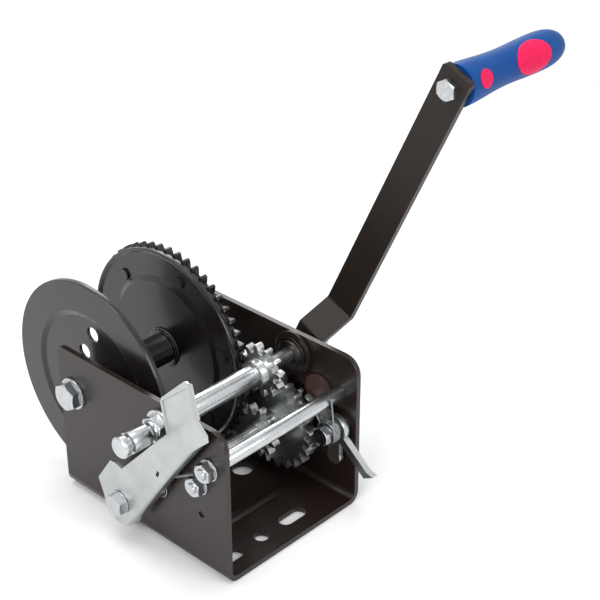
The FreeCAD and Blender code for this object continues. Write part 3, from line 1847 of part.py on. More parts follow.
# The thumb tab is bent in about the line from the edge's upper end. It is drawn unbent with Y
# back along the bend and Z up the tab.
fold_angle = math.radians(value("dims.fold_turn"))
bend_line = FreeCAD.Vector(0, math.cos(fold_angle), math.sin(fold_angle))
along_bend = spun(math.degrees(math.atan2(-bend_line.z, -bend_line.y)))
tab_turn = FreeCAD.Rotation(bend_line, -value("dims.tab_bend")) * along_bend
tab_outline = (
    (0, 0),
    (0, "dims.tab_height - 2"),
    (-2, "dims.tab_height"),
    ("dims.tab_corner + 1 - dims.tab_width", "dims.tab_height + dims.tab_corner"),
    ("1 - dims.tab_width", "dims.tab_height"),
    ("-dims.tab_width", 0),
)
tab_strip = (
    ("-dims.tab_width", 0),
    ("1 - dims.tab_width", "dims.tab_height"),
    ("1 - dims.tab_width + dims.lever_gauge", "dims.tab_height"),
    ("dims.lever_gauge - dims.tab_width", 0),
)
tab_face = (
    ("-dims.tab_rim", "dims.tab_rim"),
    ("-dims.tab_rim", "dims.tab_height - dims.tab_rim"),
    ("dims.tab_rim - dims.tab_width + 1", "dims.tab_height - dims.tab_rim"),
    ("dims.tab_rim - dims.tab_width", "dims.tab_rim"),
)
tab_spot = [f"dims.lever_pivot_{axis} + {start}" for axis, start in zip("yz", fold_start)]
lever_tab, _ = padded("lever_tab", "YZ_Plane", tab_outline, "dims.lever_gauge")
at(lever_tab, "dims.lever_start", *tab_spot, tab_turn)
tab_flange, _ = padded("tab_flange", "YZ_Plane", tab_strip, "dims.lever_gauge + dims.tab_flange")
at(tab_flange, "dims.lever_start", *tab_spot, tab_turn)
tab_recess, _ = padded("tab_recess", "YZ_Plane", tab_face, "dims.tab_recess")
at(tab_recess, "dims.lever_start", *tab_spot, tab_turn)


def lever_slot(name, across, up):
    """A small punched slot in the lever's plate."""
    box = doc.addObject("Part::Box", name)
    bind(box, {"Length": "dims.lever_gauge + 2", "Width": "dims.lever_slot_width"})
    bind(box, {"Height": "dims.lever_slot_length"})
    return at(
        box,
        "dims.lever_start - 1",
        f"dims.lever_pivot_y + {across} - dims.lever_slot_width / 2",
        f"dims.lever_pivot_z + {up} - dims.lever_slot_length / 2",
        spun(20),
    )


finished(
    "shift_lever",
    cut(
        "shift_lever",
        fuse("shift_lever_solid", lever_sheet, lever_tab, tab_flange),
        tab_recess,
        rod(
            "lever_bore",
            "dims.pivot_radius + dims.running",
            "dims.lever_start - 1",
            "dims.lever_gauge + 2",
            LEVER,
        ),
        lever_slot("lever_slot", -40.7, 44.2),
    ),
)
PIVOT_WASHER = "dims.lever_start - dims.side_play - dims.pivot_washer_gauge"
SHOULDER = "dims.lever_start + dims.lever_gauge + dims.side_play"
finished(
    "lever_pivot",
    fuse(
        "lever_pivot",
        hexagon(
            "lever_pivot_head",
            "dims.pivot_flats",
            f"{PIVOT_WASHER} - dims.pivot_head_height",
            "dims.pivot_head_height",
            LEVER,
        ),
        rod("lever_pivot_pin", "dims.pivot_radius", PIVOT_WASHER, f"{SHOULDER} - ({PIVOT_WASHER})", LEVER),
        rod("lever_pivot_shoulder", "dims.pivot_shoulder", SHOULDER, f"{LEFT_OUT} - ({SHOULDER})", LEVER),
        rod("lever_pivot_tail", "dims.pivot_tail", LEFT_OUT, "dims.plate_gauge + 1", LEVER),
    ),
)
finished(
    "pivot_washer",
    ring(
        "pivot_washer",
        "dims.pivot_washer_radius",
        "dims.pivot_radius",
        PIVOT_WASHER,
        "dims.pivot_washer_gauge",
        LEVER,
    ),
)
finished(
    "anchor_bolt",
    fuse(
        "anchor_bolt",
        hexagon(
            "anchor_bolt_head", "dims.small_flats", LEFT_IN, "dims.small_head_height", ANCHOR, "right"
        ),
        rod(
            "anchor_bolt_shank",
            "dims.tie_bolt_radius",
            f"{NUT_LEFT} - dims.thread_tail",
            f"{LEFT_IN} - ({NUT_LEFT}) + dims.thread_tail",
            ANCHOR,
        ),
    ),
)
finished("anchor_nut", small_nut("anchor_nut", NUT_LEFT, ANCHOR))
finished("anchor_washer", small_washer("anchor_washer", WASHER_LEFT, ANCHOR))


# ---------------------------------------------------------------- torsion springs
TOUCH = 0.2  # how near a spring's leg comes to what it pushes on


def resting_angle(spot, coil, target, target_radius, first):
    """Where a leg leaves its coil so that it lies along a round target, and its length."""
    across = value(target[0]) - value(spot[0])
    up = value(target[1]) - value(spot[1])
    apart = math.hypot(across, up)
    lean = math.degrees(math.asin((coil - target_radius) / apart))
    turn = math.degrees(math.atan2(up, across))
    return turn + (90 - lean if first else lean - 90), apart


def coil_spring(name, start, coil, wire, pitch, turns, spot, first_target, last_target):
    """Wire wound about X, with a straight leg lying along a round target at each end."""
    across, up = value(spot[0]), value(spot[1])
    first_turn, first_length = resting_angle(spot, coil, *first_target, True)
    last_turn, last_length = resting_angle(spot, coil, *last_target, False)
    sweep = turns * 360 + (last_turn - first_turn) % 360
    steps = int(sweep / 15)
    points = []
    for n in range(steps + 1):
        angle = math.radians(first_turn + sweep * n / steps)
        along = start + pitch * sweep / 360 * n / steps
        points.append(FreeCAD.Vector(along, across + coil * math.cos(angle), up + coil * math.sin(angle)))
    curve = Part.BSplineCurve()
    curve.interpolate(points)
    first_way = curve.tangent(curve.FirstParameter)[0]
    last_way = curve.tangent(curve.LastParameter)[0]
    first_way.x = last_way.x = 0
    first_way.normalize()
    last_way.normalize()
    beyond = 4
    first_end = points[0] - first_way * (first_length + beyond)
    last_end = points[-1] + last_way * (last_length + beyond)
    path = Part.Wire(
        [Part.makeLine(first_end, points[0]), curve.toShape(), Part.makeLine(points[-1], last_end)]
    )
    section = Part.Wire(Part.makeCircle(wire, first_end, first_way))
    spring = doc.addObject("Part::Feature", name)
    spring.Shape = path.makePipeShell([section], True, False)
    return spring


pawl_wire = value("dims.pawl_wire")
finished(
    "pawl_spring",
    coil_spring(
        "pawl_spring",
        value("dims.pawl_sleeve_start") + pawl_wire + TOUCH,
        value("dims.pawl_coil"),
        pawl_wire,
        value("dims.pawl_coil_pitch"),
        3,
        PAWL,
        (TIE, value("dims.tie_tube_radius") + pawl_wire + TOUCH),
        (EAR, value("dims.peg_radius") + pawl_wire + TOUCH),
    ),
)
lever_wire = value("dims.lever_wire")
finished(
    "lever_spring",
    coil_spring(
        "lever_spring",
        value(f"{SHOULDER}") + lever_wire + TOUCH,
        value("dims.lever_coil"),
        lever_wire,
        value("dims.lever_coil_pitch"),
        3,
        LEVER,
        ((f"{LEVER[0]} + dims.spring_rest_y", f"{LEVER[1]} + dims.spring_rest_z"), lever_wire + TOUCH),
        (ANCHOR, value("dims.small_flats") / math.sqrt(3) + lever_wire + TOUCH),
    ),
)


# ---------------------------------------------------------------- checks and export
doc.recompute()
for thing in doc.Objects:
    if {"Invalid", "Error"} & set(thing.State):
        raise RuntimeError(f"{thing.Label} did not rebuild: {thing.State}")
os.makedirs("parts", exist_ok=True)
for thing in nodes:
    if thing.Shape.isNull() or not thing.Shape.isValid():
        raise RuntimeError(f"{thing.Label} is not a sound shape")
    if not thing.Shape.Solids:
        raise RuntimeError(f"{thing.Label} holds no solid")
    thing.Shape.exportStep(f"parts/{thing.Label}.step")
    print(thing.Label, len(thing.Shape.Solids), round(thing.Shape.Volume / 1000, 2), "cm3")
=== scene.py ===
import math

import bmesh
import bpy
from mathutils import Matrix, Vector
from mathutils.bvhtree import BVHTree


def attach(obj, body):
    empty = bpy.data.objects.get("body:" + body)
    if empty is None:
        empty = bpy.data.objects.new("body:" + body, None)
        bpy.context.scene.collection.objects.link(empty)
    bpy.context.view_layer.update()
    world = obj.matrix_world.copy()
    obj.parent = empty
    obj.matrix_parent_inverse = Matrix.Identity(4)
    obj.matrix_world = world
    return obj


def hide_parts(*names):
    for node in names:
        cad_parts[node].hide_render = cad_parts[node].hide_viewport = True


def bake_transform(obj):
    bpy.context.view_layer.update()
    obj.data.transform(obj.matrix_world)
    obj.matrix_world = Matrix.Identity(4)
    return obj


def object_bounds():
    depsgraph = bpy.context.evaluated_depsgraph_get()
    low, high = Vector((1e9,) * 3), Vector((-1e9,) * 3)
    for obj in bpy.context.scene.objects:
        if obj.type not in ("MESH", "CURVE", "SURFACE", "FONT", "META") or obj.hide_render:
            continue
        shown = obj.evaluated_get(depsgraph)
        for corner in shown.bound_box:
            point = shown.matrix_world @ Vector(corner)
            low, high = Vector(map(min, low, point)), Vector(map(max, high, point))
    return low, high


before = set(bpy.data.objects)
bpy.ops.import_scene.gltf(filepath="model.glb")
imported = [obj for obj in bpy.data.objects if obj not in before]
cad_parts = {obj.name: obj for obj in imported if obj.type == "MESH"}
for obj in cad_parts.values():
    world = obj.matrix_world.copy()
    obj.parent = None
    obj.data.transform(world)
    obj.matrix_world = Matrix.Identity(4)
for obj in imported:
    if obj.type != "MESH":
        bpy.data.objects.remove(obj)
cad_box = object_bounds()


# ---------------------------------------------------------------- folded frame
# One blank of 4 mm mild steel, punched flat and pressed into a U with two beads across the base.
# It is blasted and powder coated brown-black: a low gloss over a faint orange peel, thinner
# and so a little rounder on every sheared edge.
MM = 0.001


def linear(hex_colour):
    """An sRGB hex colour as the linear RGBA that the shaders take."""
    channels = [int(hex_colour[n:n + 2], 16) / 255 for n in (1, 3, 5)]
    return [c / 12.92 if c <= 0.04045 else ((c + 0.055) / 1.055) ** 2.4 for c in channels] + [1.0]


def add(material, kind, settings=None, inputs=None):
    """Adds one shader node to a material or the world, sets it up and links what feeds it."""
    made = material.node_tree.nodes.new(kind)
    for name, setting in (settings or {}).items():
        setattr(made, name, setting)
    for socket, source in (inputs or {}).items():
        if isinstance(source, bpy.types.NodeSocket):
            material.node_tree.links.new(source, made.inputs[socket])
        else:
            made.inputs[socket].default_value = source
    return made


def surface(name):
    """A new material with its shader and the object's own coordinates."""
    material = bpy.data.materials.new(name)
    material.use_nodes = True
    shader = material.node_tree.nodes["Principled BSDF"]
    place = add(material, "ShaderNodeTexCoord").outputs["Object"]
    return material, shader, place


def set_shader(material, shader, inputs):
    """Sets or links the sockets of a material's own shader."""
    for socket, source in inputs.items():
        if isinstance(source, bpy.types.NodeSocket):
            material.node_tree.links.new(source, shader.inputs[socket])
        else:
            shader.inputs[socket].default_value = source


def powder_coat(
        name, film, dust, roughness, peel_mm=1.8, cloud_mm=24, gloss_coat=0.1, film_ior=1.42):
    """Baked powder on steel: its orange peel is a soft ripple, and the film varies a little."""
    material, shader, place = surface(name)
    peel = add(material, "ShaderNodeTexNoise", None, {
        "Vector": place, "Scale": 1 / (peel_mm * MM), "Detail": 1.0, "Roughness": 0.4})
    cloud = add(material, "ShaderNodeTexNoise", None, {
        "Vector": place, "Scale": 1 / (cloud_mm * MM), "Detail": 3.0, "Roughness": 0.6})
    tint = add(material, "ShaderNodeMix", {"data_type": "RGBA"}, {
        "Factor": cloud.outputs["Fac"], "A": linear(film), "B": linear(dust)})
    gloss = add(material, "ShaderNodeMapRange", None, {
        "Value": cloud.outputs["Fac"], "To Min": roughness - 0.05, "To Max": roughness + 0.08})
    ripple = add(material, "ShaderNodeBump", None, {
        "Height": peel.outputs["Fac"], "Strength": 0.16, "Distance": 0.12 * MM})
    set_shader(material, shader, {
        "Base Color": tint.outputs["Result"], "Roughness": gloss.outputs["Result"],
        "Normal": ripple.outputs["Normal"], "IOR": film_ior,
        "Coat Weight": gloss_coat, "Coat Roughness": 0.12})
    return material


def finish(material, *nodes, edge_mm=0.3):
    """Gives CAD nodes their finish, and breaks their sharp edges as the real process does."""
    for name in nodes:
        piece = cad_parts[name]
        piece.data.materials.clear()
        piece.data.materials.append(material)
        weld = piece.modifiers.new("joined_edges", "WELD")
        weld.merge_threshold = 0.002 * MM
        edge = piece.modifiers.new("broken_edges", "BEVEL")
        edge.width = edge_mm * MM
        edge.segments = 2
        edge.limit_method = "ANGLE"
        edge.angle_limit = math.radians(38)
        edge.use_clamp_overlap = True
        edge.harden_normals = False


frame_coat = powder_coat("brown_black_powder_coat", "#1a1210", "#231916", 0.3)
finish(frame_coat, "base_frame", "bearing_plate", edge_mm=0.5)
guard_coat = powder_coat("red_brown_powder_coat", "#3b2623", "#472f2a", 0.4)
finish(guard_coat, "pawl_guard", edge_mm=0.4)


# ---------------------------------------------------------------- turned and plated steel
# The shafts, spacers, collars and bushes are bar or tube, turned in a lathe and bright zinc
# plated. The tool leaves fine rings about the axis, and the plate is a cool white metal.
def turned_zinc(name, bright, dull, roughness, ring_mm=0.5, stain_mm=14, stretch=0.02):
    """Plated turned steel, with tool rings about X. They are drawn coarser than a real feed."""
    material, shader, place = surface(name)
    along = add(material, "ShaderNodeVectorMath", {"operation": "MULTIPLY"}, {
        0: place, 1: (1, stretch, stretch)})
    rings = add(material, "ShaderNodeTexNoise", None, {
        "Vector": along.outputs["Vector"], "Scale": 1 / (ring_mm * MM), "Detail": 2.0})
    stain = add(material, "ShaderNodeTexNoise", None, {
        "Vector": place, "Scale": 1 / (stain_mm * MM), "Detail": 4.0, "Roughness": 0.65})
    tint = add(material, "ShaderNodeMix", {"data_type": "RGBA"}, {
        "Factor": stain.outputs["Fac"], "A": linear(bright), "B": linear(dull)})
    worn = add(material, "ShaderNodeMapRange", None, {
        "Value": rings.outputs["Fac"], "To Min": roughness - 0.07, "To Max": roughness + 0.1})
    groove = add(material, "ShaderNodeBump", None, {
        "Height": rings.outputs["Fac"], "Strength": 0.14, "Distance": 0.05 * MM})
    set_shader(material, shader, {
        "Base Color": tint.outputs["Result"], "Metallic": 1.0, "Roughness": worn.outputs["Result"],
        "Normal": groove.outputs["Normal"]})
    return material


shaft_zinc = turned_zinc("turned_zinc_plate", "#d3d5d6", "#a9adb0", 0.24)
finish(
    shaft_zinc,
    "drive_shaft", "intermediate_shaft", "tie_tube", "drum_spacers", "pawl_sleeve",
    "left_bush",
)
dark_oiled = turned_zinc("oiled_turned_steel", "#5d5a57", "#413e3b", 0.34)
finish(dark_oiled, "right_bush", "bush_clips", edge_mm=0.3)


# ---------------------------------------------------------------- bronze bushes
# The drum and the intermediate shaft turn in sintered bronze bushes, pressed in and soaked
# with oil. The metal is brown-gold and dull, with a fine open grain.
def sintered_bronze(name, metal, oiled, grain_mm=0.35):
    """Pressed and sintered bronze powder, dark where the oil shows."""
    material, shader, place = surface(name)
    grain = add(material, "ShaderNodeTexNoise", None, {
        "Vector": place, "Scale": 1 / (grain_mm * MM), "Detail": 3.0})
    tint = add(material, "ShaderNodeMix", {"data_type": "RGBA"}, {
        "Factor": grain.outputs["Fac"], "A": linear(metal), "B": linear(oiled)})
    pores = add(material, "ShaderNodeBump", None, {
        "Height": grain.outputs["Fac"], "Strength": 0.2, "Distance": 0.05 * MM})
    set_shader(material, shader, {
        "Base Color": tint.outputs["Result"], "Metallic": 1.0, "Roughness": 0.42,
        "Normal": pores.outputs["Normal"]})
    return material


bush_bronze = sintered_bronze("sintered_bronze", "#b08a58", "#8a6b45")
finish(bush_bronze, "drum_bushes", "intermediate_bushes", edge_mm=0.2)


# ---------------------------------------------------------------- gear train
# The spur gears and the ratchet wheel are blanked and cut from steel plate, then barrelled
# and bright zinc plated. Barrelling leaves a soft mottled sheen and slightly rounded teeth.
def barrelled_zinc(name, bright, dull, roughness, mottle_mm=5.0, scuff_mm=0.7):
    """Plated steel out of a tumbling barrel: a mottled sheen with small random scuffs."""
    material, shader, place = surface(name)
    mottle = add(material, "ShaderNodeTexNoise", None, {
        "Vector": place, "Scale": 1 / (mottle_mm * MM), "Detail": 5.0, "Roughness": 0.6})
    scuff = add(material, "ShaderNodeTexNoise", None, {
        "Vector": place, "Scale": 1 / (scuff_mm * MM), "Detail": 2.0, "Roughness": 0.5})
    tint = add(material, "ShaderNodeMix", {"data_type": "RGBA"}, {
        "Factor": mottle.outputs["Fac"], "A": linear(bright), "B": linear(dull)})
    sheen = add(material, "ShaderNodeMapRange", None, {
        "Value": mottle.outputs["Fac"], "To Min": roughness - 0.08, "To Max": roughness + 0.14})
    dents = add(material, "ShaderNodeBump", None, {
        "Height": scuff.outputs["Fac"], "Strength": 0.12, "Distance": 0.06 * MM})
    set_shader(material, shader, {
        "Base Color": tint.outputs["Result"], "Metallic": 1.0, "Roughness": sheen.outputs["Result"],
        "Normal": dents.outputs["Normal"]})
    return material


gear_zinc = barrelled_zinc("barrelled_zinc_plate", "#dcdedd", "#a5a9a8", 0.27)
finish(
    gear_zinc,
    "drive_pinion", "intermediate_pinion", "intermediate_gear", "ratchet_wheel",
    edge_mm=0.25,
)


# ---------------------------------------------------------------- rope drum
# Two pressed steel discs are welded to a tube and powder coated black as one piece. The coat
# is thick and glossy, so the discs mirror the light in a broad grey sheen.
drum_coat = powder_coat(
    "black_powder_coat", "#161412", "#1f1c1a", 0.24, peel_mm=2.4, gloss_coat=0.3)
finish(drum_coat, "left_flange", "right_flange", "drum_hub", edge_mm=0.5)
finish(drum_coat, "drum_gear", "drum_rivets", edge_mm=0.25)


def tube_faces(rows, sides, ring):
    """The faces between rows of points that run round a tube, closed as a ring or by two ends."""
    faces = [
        (a * sides + b, a * sides + (b + 1) % sides,
         (a + 1) % rows * sides + (b + 1) % sides, (a + 1) % rows * sides + b)
        for a in range(rows if ring else rows - 1) for b in range(sides)]
    if not ring:
        faces.append(tuple(reversed(range(sides))))
        faces.append(tuple((rows - 1) * sides + b for b in range(sides)))
    return faces


def solid(name, points, faces, material):
    """A smooth mesh piece in the row frame."""
    mesh = bpy.data.meshes.new(name)
    mesh.from_pydata(points, [], faces)
    mesh.update()
    shape = bmesh.new()
    shape.from_mesh(mesh)
    bmesh.ops.recalc_face_normals(shape, faces=shape.faces)
    shape.to_mesh(mesh)
    shape.free()
    for face in mesh.polygons:
        face.use_smooth = len(face.vertices) == 4
    piece = bpy.data.objects.new(name, mesh)
    piece.data.materials.append(material)
    bpy.context.collection.objects.link(piece)
    return piece


def bead_ring(name, x_mm, spot_mm, ring_mm, bead_mm, ripples, material):
    """A run of weld metal round a collar, heaped up in overlapping scales."""
    steps, sides = ripples * 6, 10
    valley = 0.82
    rings = []
    for step in range(steps):
        turn = 2 * math.pi * step / steps
        thick = bead_mm * (valley + (1 - valley) * abs(math.sin(ripples * turn / 2)))
        for side in range(sides):
            lean = 2 * math.pi * side / sides
            reach = ring_mm + thick * math.cos(lean)
            rings.append((
                (x_mm + thick * math.sin(lean)) * MM,
                (spot_mm[0] + reach * math.cos(turn)) * MM,
                (spot_mm[1] + reach * math.sin(turn)) * MM))
    return solid(name, rings, tube_faces(steps, sides, True), material)


DRUM_AXIS = (69.5, 86.5)
HUB_RADIUS_MM, BEAD_RADIUS_MM, BEAD_RIPPLES = 14.6, 1.5, 22
for side, web_mm in (("left", -45.6), ("right", 20.1)):
    bead = bead_ring(
        f"hub_weld_{side}", web_mm, DRUM_AXIS, HUB_RADIUS_MM, BEAD_RADIUS_MM, BEAD_RIPPLES,
        drum_coat)
    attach(bead, "drum")


# ---------------------------------------------------------------- bolts, nuts and washers
# All the fasteners are standard steel ones, cold headed or punched and bright zinc plated.
# Small and much handled, they have a brighter and bluer white than the gears.
fastener_zinc = barrelled_zinc("bright_fastener_zinc", "#d6d8da", "#9fa3a7", 0.2, mottle_mm=3.0)
finish(
    fastener_zinc,
    "drum_bolt", "drum_nut", "drum_washers", "tie_bolt", "tie_nut", "tie_washers",
    "pawl_bolt", "pawl_nut", "pawl_washer", "anchor_bolt", "anchor_nut", "anchor_washer",
    "lever_pivot", "pivot_washer", "crank_nut", "crank_washer", "grip_bolt", "grip_nut",
    "grip_washer", "intermediate_clips", "pinion_pin",
    edge_mm=0.25,
)


def turned_about_x(name, profile_mm, spot_mm, material, sides=40, ring=False):
    """A lathe-turned piece from an outline of (x, radius) points."""
    points = [
        (x * MM, (spot_mm[0] + radius * math.cos(2 * math.pi * n / sides)) * MM,
         (spot_mm[1] + radius * math.sin(2 * math.pi * n / sides)) * MM)
        for x, radius in profile_mm for n in range(sides)]
    return solid(name, points, tube_faces(len(profile_mm), sides, ring), material)


def thread_end(name, body, tip_mm, inward, radius_mm, pitch_mm, spot_mm):
    """The rolled thread that stands out of a nut: V crests, and a small chamfer at the tip."""
    crest_mm, root_mm, turns = 0.16, 0.25, 3
    tip_face, tip_chamfer, first_crest = (-0.05, -0.9), (0.45, -0.2), 0.7
    profile = [
        (tip_mm + inward * step_mm, radius_mm + rise_mm)
        for step_mm, rise_mm in (tip_face, tip_chamfer)]
    place = tip_mm + inward * first_crest
    for turn in range(turns):
        profile.append((place, radius_mm + crest_mm))
        profile.append((place + inward * pitch_mm / 2, radius_mm - root_mm))
        place += inward * pitch_mm
    thread = turned_about_x(name, profile, spot_mm, fastener_zinc)
    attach(thread, body)


def nylon_ring(name, body, face_mm, outward, radius_mm, spot_mm):
    """The nylon ring of a lock nut, rolled in behind the collar's lip."""
    section_mm = ((-0.6, 0.05), (0.18, 0.15), (0.28, 0.5), (0.18, 1.1), (-0.6, 1.3))
    ring = turned_about_x(
        name,
        [(face_mm + outward * proud_mm, radius_mm + rise_mm) for proud_mm, rise_mm in section_mm],
        spot_mm, nylon, ring=True)
    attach(ring, body)


nylon = bpy.data.materials.new("pale_moulded_nylon")
nylon.use_nodes = True
set_shader(nylon, nylon.node_tree.nodes["Principled BSDF"], {
    "Base Color": linear("#cfd6da"), "Roughness": 0.45, "IOR": 1.53})

TIE_AXIS = (-70.0, 89.0)
PAWL_AXIS = (-71.0, 62.0)
CRANK_AXIS = (-24.983, 103.5)
thread_end("drum_bolt_thread", "frame", 81.0, -1, 6, 1.75, DRUM_AXIS)
thread_end("tie_bolt_thread", "frame", -75.6, 1, 4, 1.25, TIE_AXIS)
thread_end("pawl_bolt_thread", "frame", 75.6, -1, 4, 1.25, PAWL_AXIS)
thread_end("crank_shaft_thread", "drive", 91.1, -1, 5, 1.5, CRANK_AXIS)
nylon_ring("drum_nut_nylon", "frame", 79.0, 1, 6, DRUM_AXIS)
nylon_ring("crank_nut_nylon", "drive", 89.6, 1, 5, CRANK_AXIS)


# ---------------------------------------------------------------- pawl and lock lever
# Both are blanked from plate and folded by a press tool, then bright zinc plated. The flat
# faces keep a satin look with long faint lines from the rolled sheet.
def rolled_zinc(name, bright, dull, roughness, line_mm=0.6, cloud_mm=18, stretch=0.06):
    """Plated sheet, with the faint lines of rolling drawn wider than they are."""
    material, shader, place = surface(name)
    drawn = add(material, "ShaderNodeVectorMath", {"operation": "MULTIPLY"}, {
        0: place, 1: (1, stretch, 1)})
    lines = add(material, "ShaderNodeTexNoise", None, {
        "Vector": drawn.outputs["Vector"], "Scale": 1 / (line_mm * MM), "Detail": 2.0})
    cloud = add(material, "ShaderNodeTexNoise", None, {
        "Vector": place, "Scale": 1 / (cloud_mm * MM), "Detail": 4.0, "Roughness": 0.6})
    tint = add(material, "ShaderNodeMix", {"data_type": "RGBA"}, {
        "Factor": cloud.outputs["Fac"], "A": linear(bright), "B": linear(dull)})
    satin = add(material, "ShaderNodeMapRange", None, {
        "Value": cloud.outputs["Fac"], "To Min": roughness - 0.06, "To Max": roughness + 0.08})
    brush = add(material, "ShaderNodeBump", None, {
        "Height": lines.outputs["Fac"], "Strength": 0.08, "Distance": 0.04 * MM})
    set_shader(material, shader, {
        "Base Color": tint.outputs["Result"], "Metallic": 1.0, "Roughness": satin.outputs["Result"],
        "Normal": brush.outputs["Normal"]})
    return material


lever_zinc = rolled_zinc("rolled_sheet_zinc", "#c9cdcb", "#a5aaa8", 0.3)
finish(lever_zinc, "shift_lever", "pawl", edge_mm=0.5)


# ---------------------------------------------------------------- springs
# The two torsion springs are hard drawn wire, coiled cold and zinc plated. Drawing leaves the
# wire smooth, and a little darker than the turned parts.
spring_wire = rolled_zinc("drawn_spring_wire", "#9a9da0", "#777b7f", 0.28, line_mm=0.4)

# A copy of each spring stands for it, with its placement baked into the mesh, and the CAD spring
# is hidden. One leg bears on the frame's side, on the tie tube or the anchor bolt, the other on its
# lever.
LEVER_AXIS = (7.0, 31.0)
for node, body, axis_mm, fixed_leg_mm, moving_leg_mm in (
        ("pawl_spring", "pawl", PAWL_AXIS, 46.3, 50.7),
        ("lever_spring", "lever", LEVER_AXIS, -71.2, -76.4)):
    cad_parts[node].data.materials.clear()
    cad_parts[node].data.materials.append(spring_wire)
    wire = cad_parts[node].copy()
    wire.data = wire.data.copy()
    wire.name = f"{node}_wire"
    bpy.context.collection.objects.link(wire)
    wire_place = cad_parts[node].matrix_world.copy()
    wire.parent = None
    wire.matrix_world = wire_place
    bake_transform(wire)
    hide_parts(node)


# ---------------------------------------------------------------- crank arm
# A flat bar, joggled in a press and powder coated. Its satin film is duller than the frame's.
crank_coat = powder_coat(
    "satin_powder_coat", "#1d1613", "#261f1b", 0.34, gloss_coat=0.0, film_ior=1.33)
finish(crank_coat, "crank_arm", edge_mm=0.6)


# ---------------------------------------------------------------- grip
# A hollow blue moulding in polypropylene that turns on its bolt, with two soft inserts that
# are moulded over it. Spark-eroded tooling gives the plastic a fine even grain.
def moulded_plastic(name, body, shade, roughness, ior, grain_mm=0.6, cloud_mm=20):
    """Injection moulded plastic with the tool's fine spark grain."""
    material, shader, place = surface(name)
    grain = add(material, "ShaderNodeTexNoise", None, {
        "Vector": place, "Scale": 1 / (grain_mm * MM), "Detail": 2.0})
    cloud = add(material, "ShaderNodeTexNoise", None, {
        "Vector": place, "Scale": 1 / (cloud_mm * MM), "Detail": 2.0})
    tint = add(material, "ShaderNodeMix", {"data_type": "RGBA"}, {
        "Factor": cloud.outputs["Fac"], "A": linear(body), "B": linear(shade)})
    spark = add(material, "ShaderNodeBump", None, {
        "Height": grain.outputs["Fac"], "Strength": 0.22, "Distance": 0.08 * MM})
    set_shader(material, shader, {
        "Base Color": tint.outputs["Result"], "Roughness": roughness, "IOR": ior,
        "Normal": spark.outputs["Normal"]})
    return material


grip_blue = moulded_plastic("blue_moulded_polypropylene", "#004a92", "#003c7c", 0.5, ior=1.3)
finish(grip_blue, "grip", "grip_cap", edge_mm=0.4)
pad_rose = moulded_plastic("rose_soft_elastomer", "#e60c56", "#d40a4c", 0.55, ior=1.36)
finish(pad_rose, "grip_pads", edge_mm=0.3)

# The palm pad is moulded with rounded ribs across the grip. Each one is laid on the pad's
# own surface and dies away before the pad's edge.
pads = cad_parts["grip_pads"]
pad_tree = BVHTree.FromPolygons(
    [pads.matrix_world @ vertex.co for vertex in pads.data.vertices],
    [tuple(face.vertices) for face in pads.data.polygons])
GRIP_AXIS = Vector((0, -127.679, 323.733)) * MM
facing = math.radians(161)
out = Vector((0, math.cos(facing), math.sin(facing)))
across = Vector((0, -math.sin(facing), math.cos(facing)))
PAD_MIDDLE_MM, PAD_HALF_LENGTH_MM, PAD_HALF_WIDTH_MM = 167.3, 18.0, 11.0
PAD_LEAN = math.tan(math.radians(22))
PALM_RADIUS_MM = 13.0
RIB_PITCH_MM, RIB_RADIUS_MM, RIB_SUNK_MM = 3.7, 0.95, 0.45
EDGE_MARGIN_MM, RAY_START_MM, RAY_GRAZE = 1.3, 40.0, 0.2
RIB_STEPS, RIB_SIDES, RIB_TIP, RIB_TAPER = 24, 8, 0.15, 6
for number in range(-4, 5):
    offset = number * RIB_PITCH_MM
    half = PAD_HALF_WIDTH_MM * math.sqrt(1 - (offset / PAD_HALF_LENGTH_MM) ** 2)
    half -= EDGE_MARGIN_MM
    track = []
    for step in range(RIB_STEPS + 1):
        share = -1 + 2 * step / RIB_STEPS
        sideways = share * half
        fall = PALM_RADIUS_MM - math.sqrt(PALM_RADIUS_MM ** 2 - sideways ** 2)
        along = PAD_MIDDLE_MM + offset + fall * PAD_LEAN
        start = GRIP_AXIS + Vector((along, 0, 0)) * MM
        start += out * RAY_START_MM * MM + across * sideways * MM
        hit, normal, _, _ = pad_tree.ray_cast(start, -out)
        if hit is not None and normal.dot(out) > RAY_GRAZE:
            swell = max(RIB_TIP, 1 - abs(share) ** RIB_TAPER)
            track.append((hit, normal.normalized(), swell))
    points = []
    for hit, normal, swell in track:
        centre = hit - normal * RIB_SUNK_MM * MM
        for side in range(RIB_SIDES):
            lean = 2 * math.pi * side / RIB_SIDES
            way = Vector((1, 0, 0)) * math.cos(lean) + normal * math.sin(lean)
            points.append(centre + way * RIB_RADIUS_MM * swell * MM)
    rib = solid(
        f"palm_rib_{number + 5}", points, tube_faces(len(track), RIB_SIDES, False), pad_rose)
    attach(rib, "grip")


# ---------------------------------------------------------------- floor, light and camera
# A plain pale studio: the floor shows white to the camera and to the metal, and keeps the
# shadow. Four soft boxes light the winch from the shift side, the front, above and behind.
floor_radius, floor_drop = 0.9, 0.0005
bpy.ops.mesh.primitive_circle_add(
    vertices=96, radius=floor_radius, fill_type="NGON",
    location=(0, 0, cad_box[0][2] - floor_drop))
floor = bpy.context.object
floor.name = "studio_floor"
floor_paint = bpy.data.materials.new("studio_floor_paint")
floor_paint.use_nodes = True
set_shader(floor_paint, floor_paint.node_tree.nodes["Principled BSDF"], {
    "Base Color": linear("#f7f7f7"), "Roughness": 0.9})
floor.data.materials.append(floor_paint)

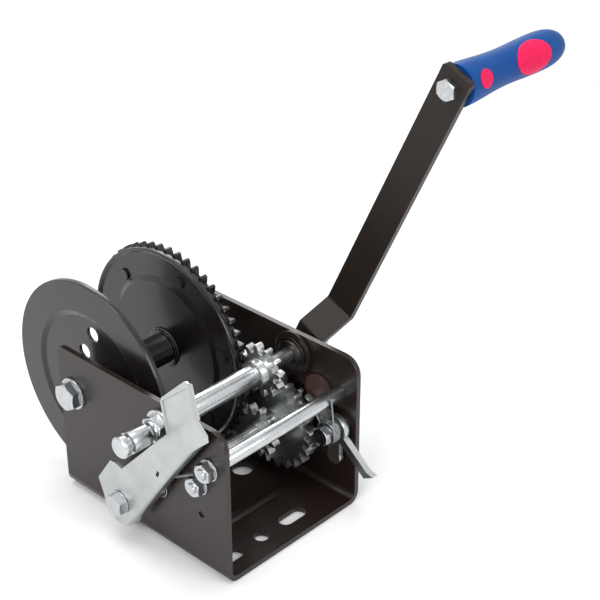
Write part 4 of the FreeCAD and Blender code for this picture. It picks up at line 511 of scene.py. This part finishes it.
world = bpy.data.worlds.new("studio_world")
bpy.context.scene.world = world
world.use_nodes = True
background = world.node_tree.nodes["Background"]
WHITE = (1, 1, 1, 1)
background.inputs["Color"].default_value = WHITE
background.inputs["Strength"].default_value = 0.62
seen = add(world, "ShaderNodeBackground", None, {"Color": WHITE, "Strength": 1.0})
path = add(world, "ShaderNodeLightPath")
direct = add(world, "ShaderNodeMath", {"operation": "MAXIMUM"}, {
    0: path.outputs["Is Camera Ray"], 1: path.outputs["Is Glossy Ray"]})
shown = add(world, "ShaderNodeMath", {"operation": "MAXIMUM"}, {
    0: direct.outputs[0], 1: path.outputs["Is Transmission Ray"]})
either = add(world, "ShaderNodeMixShader", None, {
    0: shown.outputs[0], 1: background.outputs[0], 2: seen.outputs[0]})
world.node_tree.links.new(
    either.outputs[0], world.node_tree.nodes["World Output"].inputs["Surface"])

middle = Vector((0.0, 0.0, 0.12))


def soft_box(name, place, size, power):
    """A square soft box that faces the winch."""
    lamp = bpy.data.lights.new(name, "AREA")
    lamp.size = size
    lamp.energy = power
    box = bpy.data.objects.new(name, lamp)
    box.location = place
    box.rotation_euler = (middle - Vector(place)).to_track_quat("-Z", "Y").to_euler()
    bpy.context.collection.objects.link(box)


soft_box("shift_side_box", (-1.5, -0.5, 1.1), 0.9, 16)
soft_box("front_box", (0.3, -1.6, 1.0), 0.8, 8)
soft_box("top_box", (-0.1, 0.3, 1.7), 1.0, 12)
soft_box("rear_box", (1.2, 1.2, 1.2), 0.8, 8)

camera = bpy.data.objects.new("camera", bpy.data.cameras.new("camera"))
bpy.context.collection.objects.link(camera)
camera.location = (-0.6057, -0.6600, 0.6681)
yaw = math.radians(46.68)
pitch = math.radians(29.52)
look = Vector((math.sin(yaw) * math.cos(pitch), math.cos(yaw) * math.cos(pitch), -math.sin(pitch)))
camera.rotation_euler = look.to_track_quat("-Z", "Y").to_euler()
camera.data.angle = math.radians(22.67)
camera.data.clip_start = 0.01
bpy.context.scene.camera = camera
bpy.context.scene.view_settings.view_transform = "Standard"
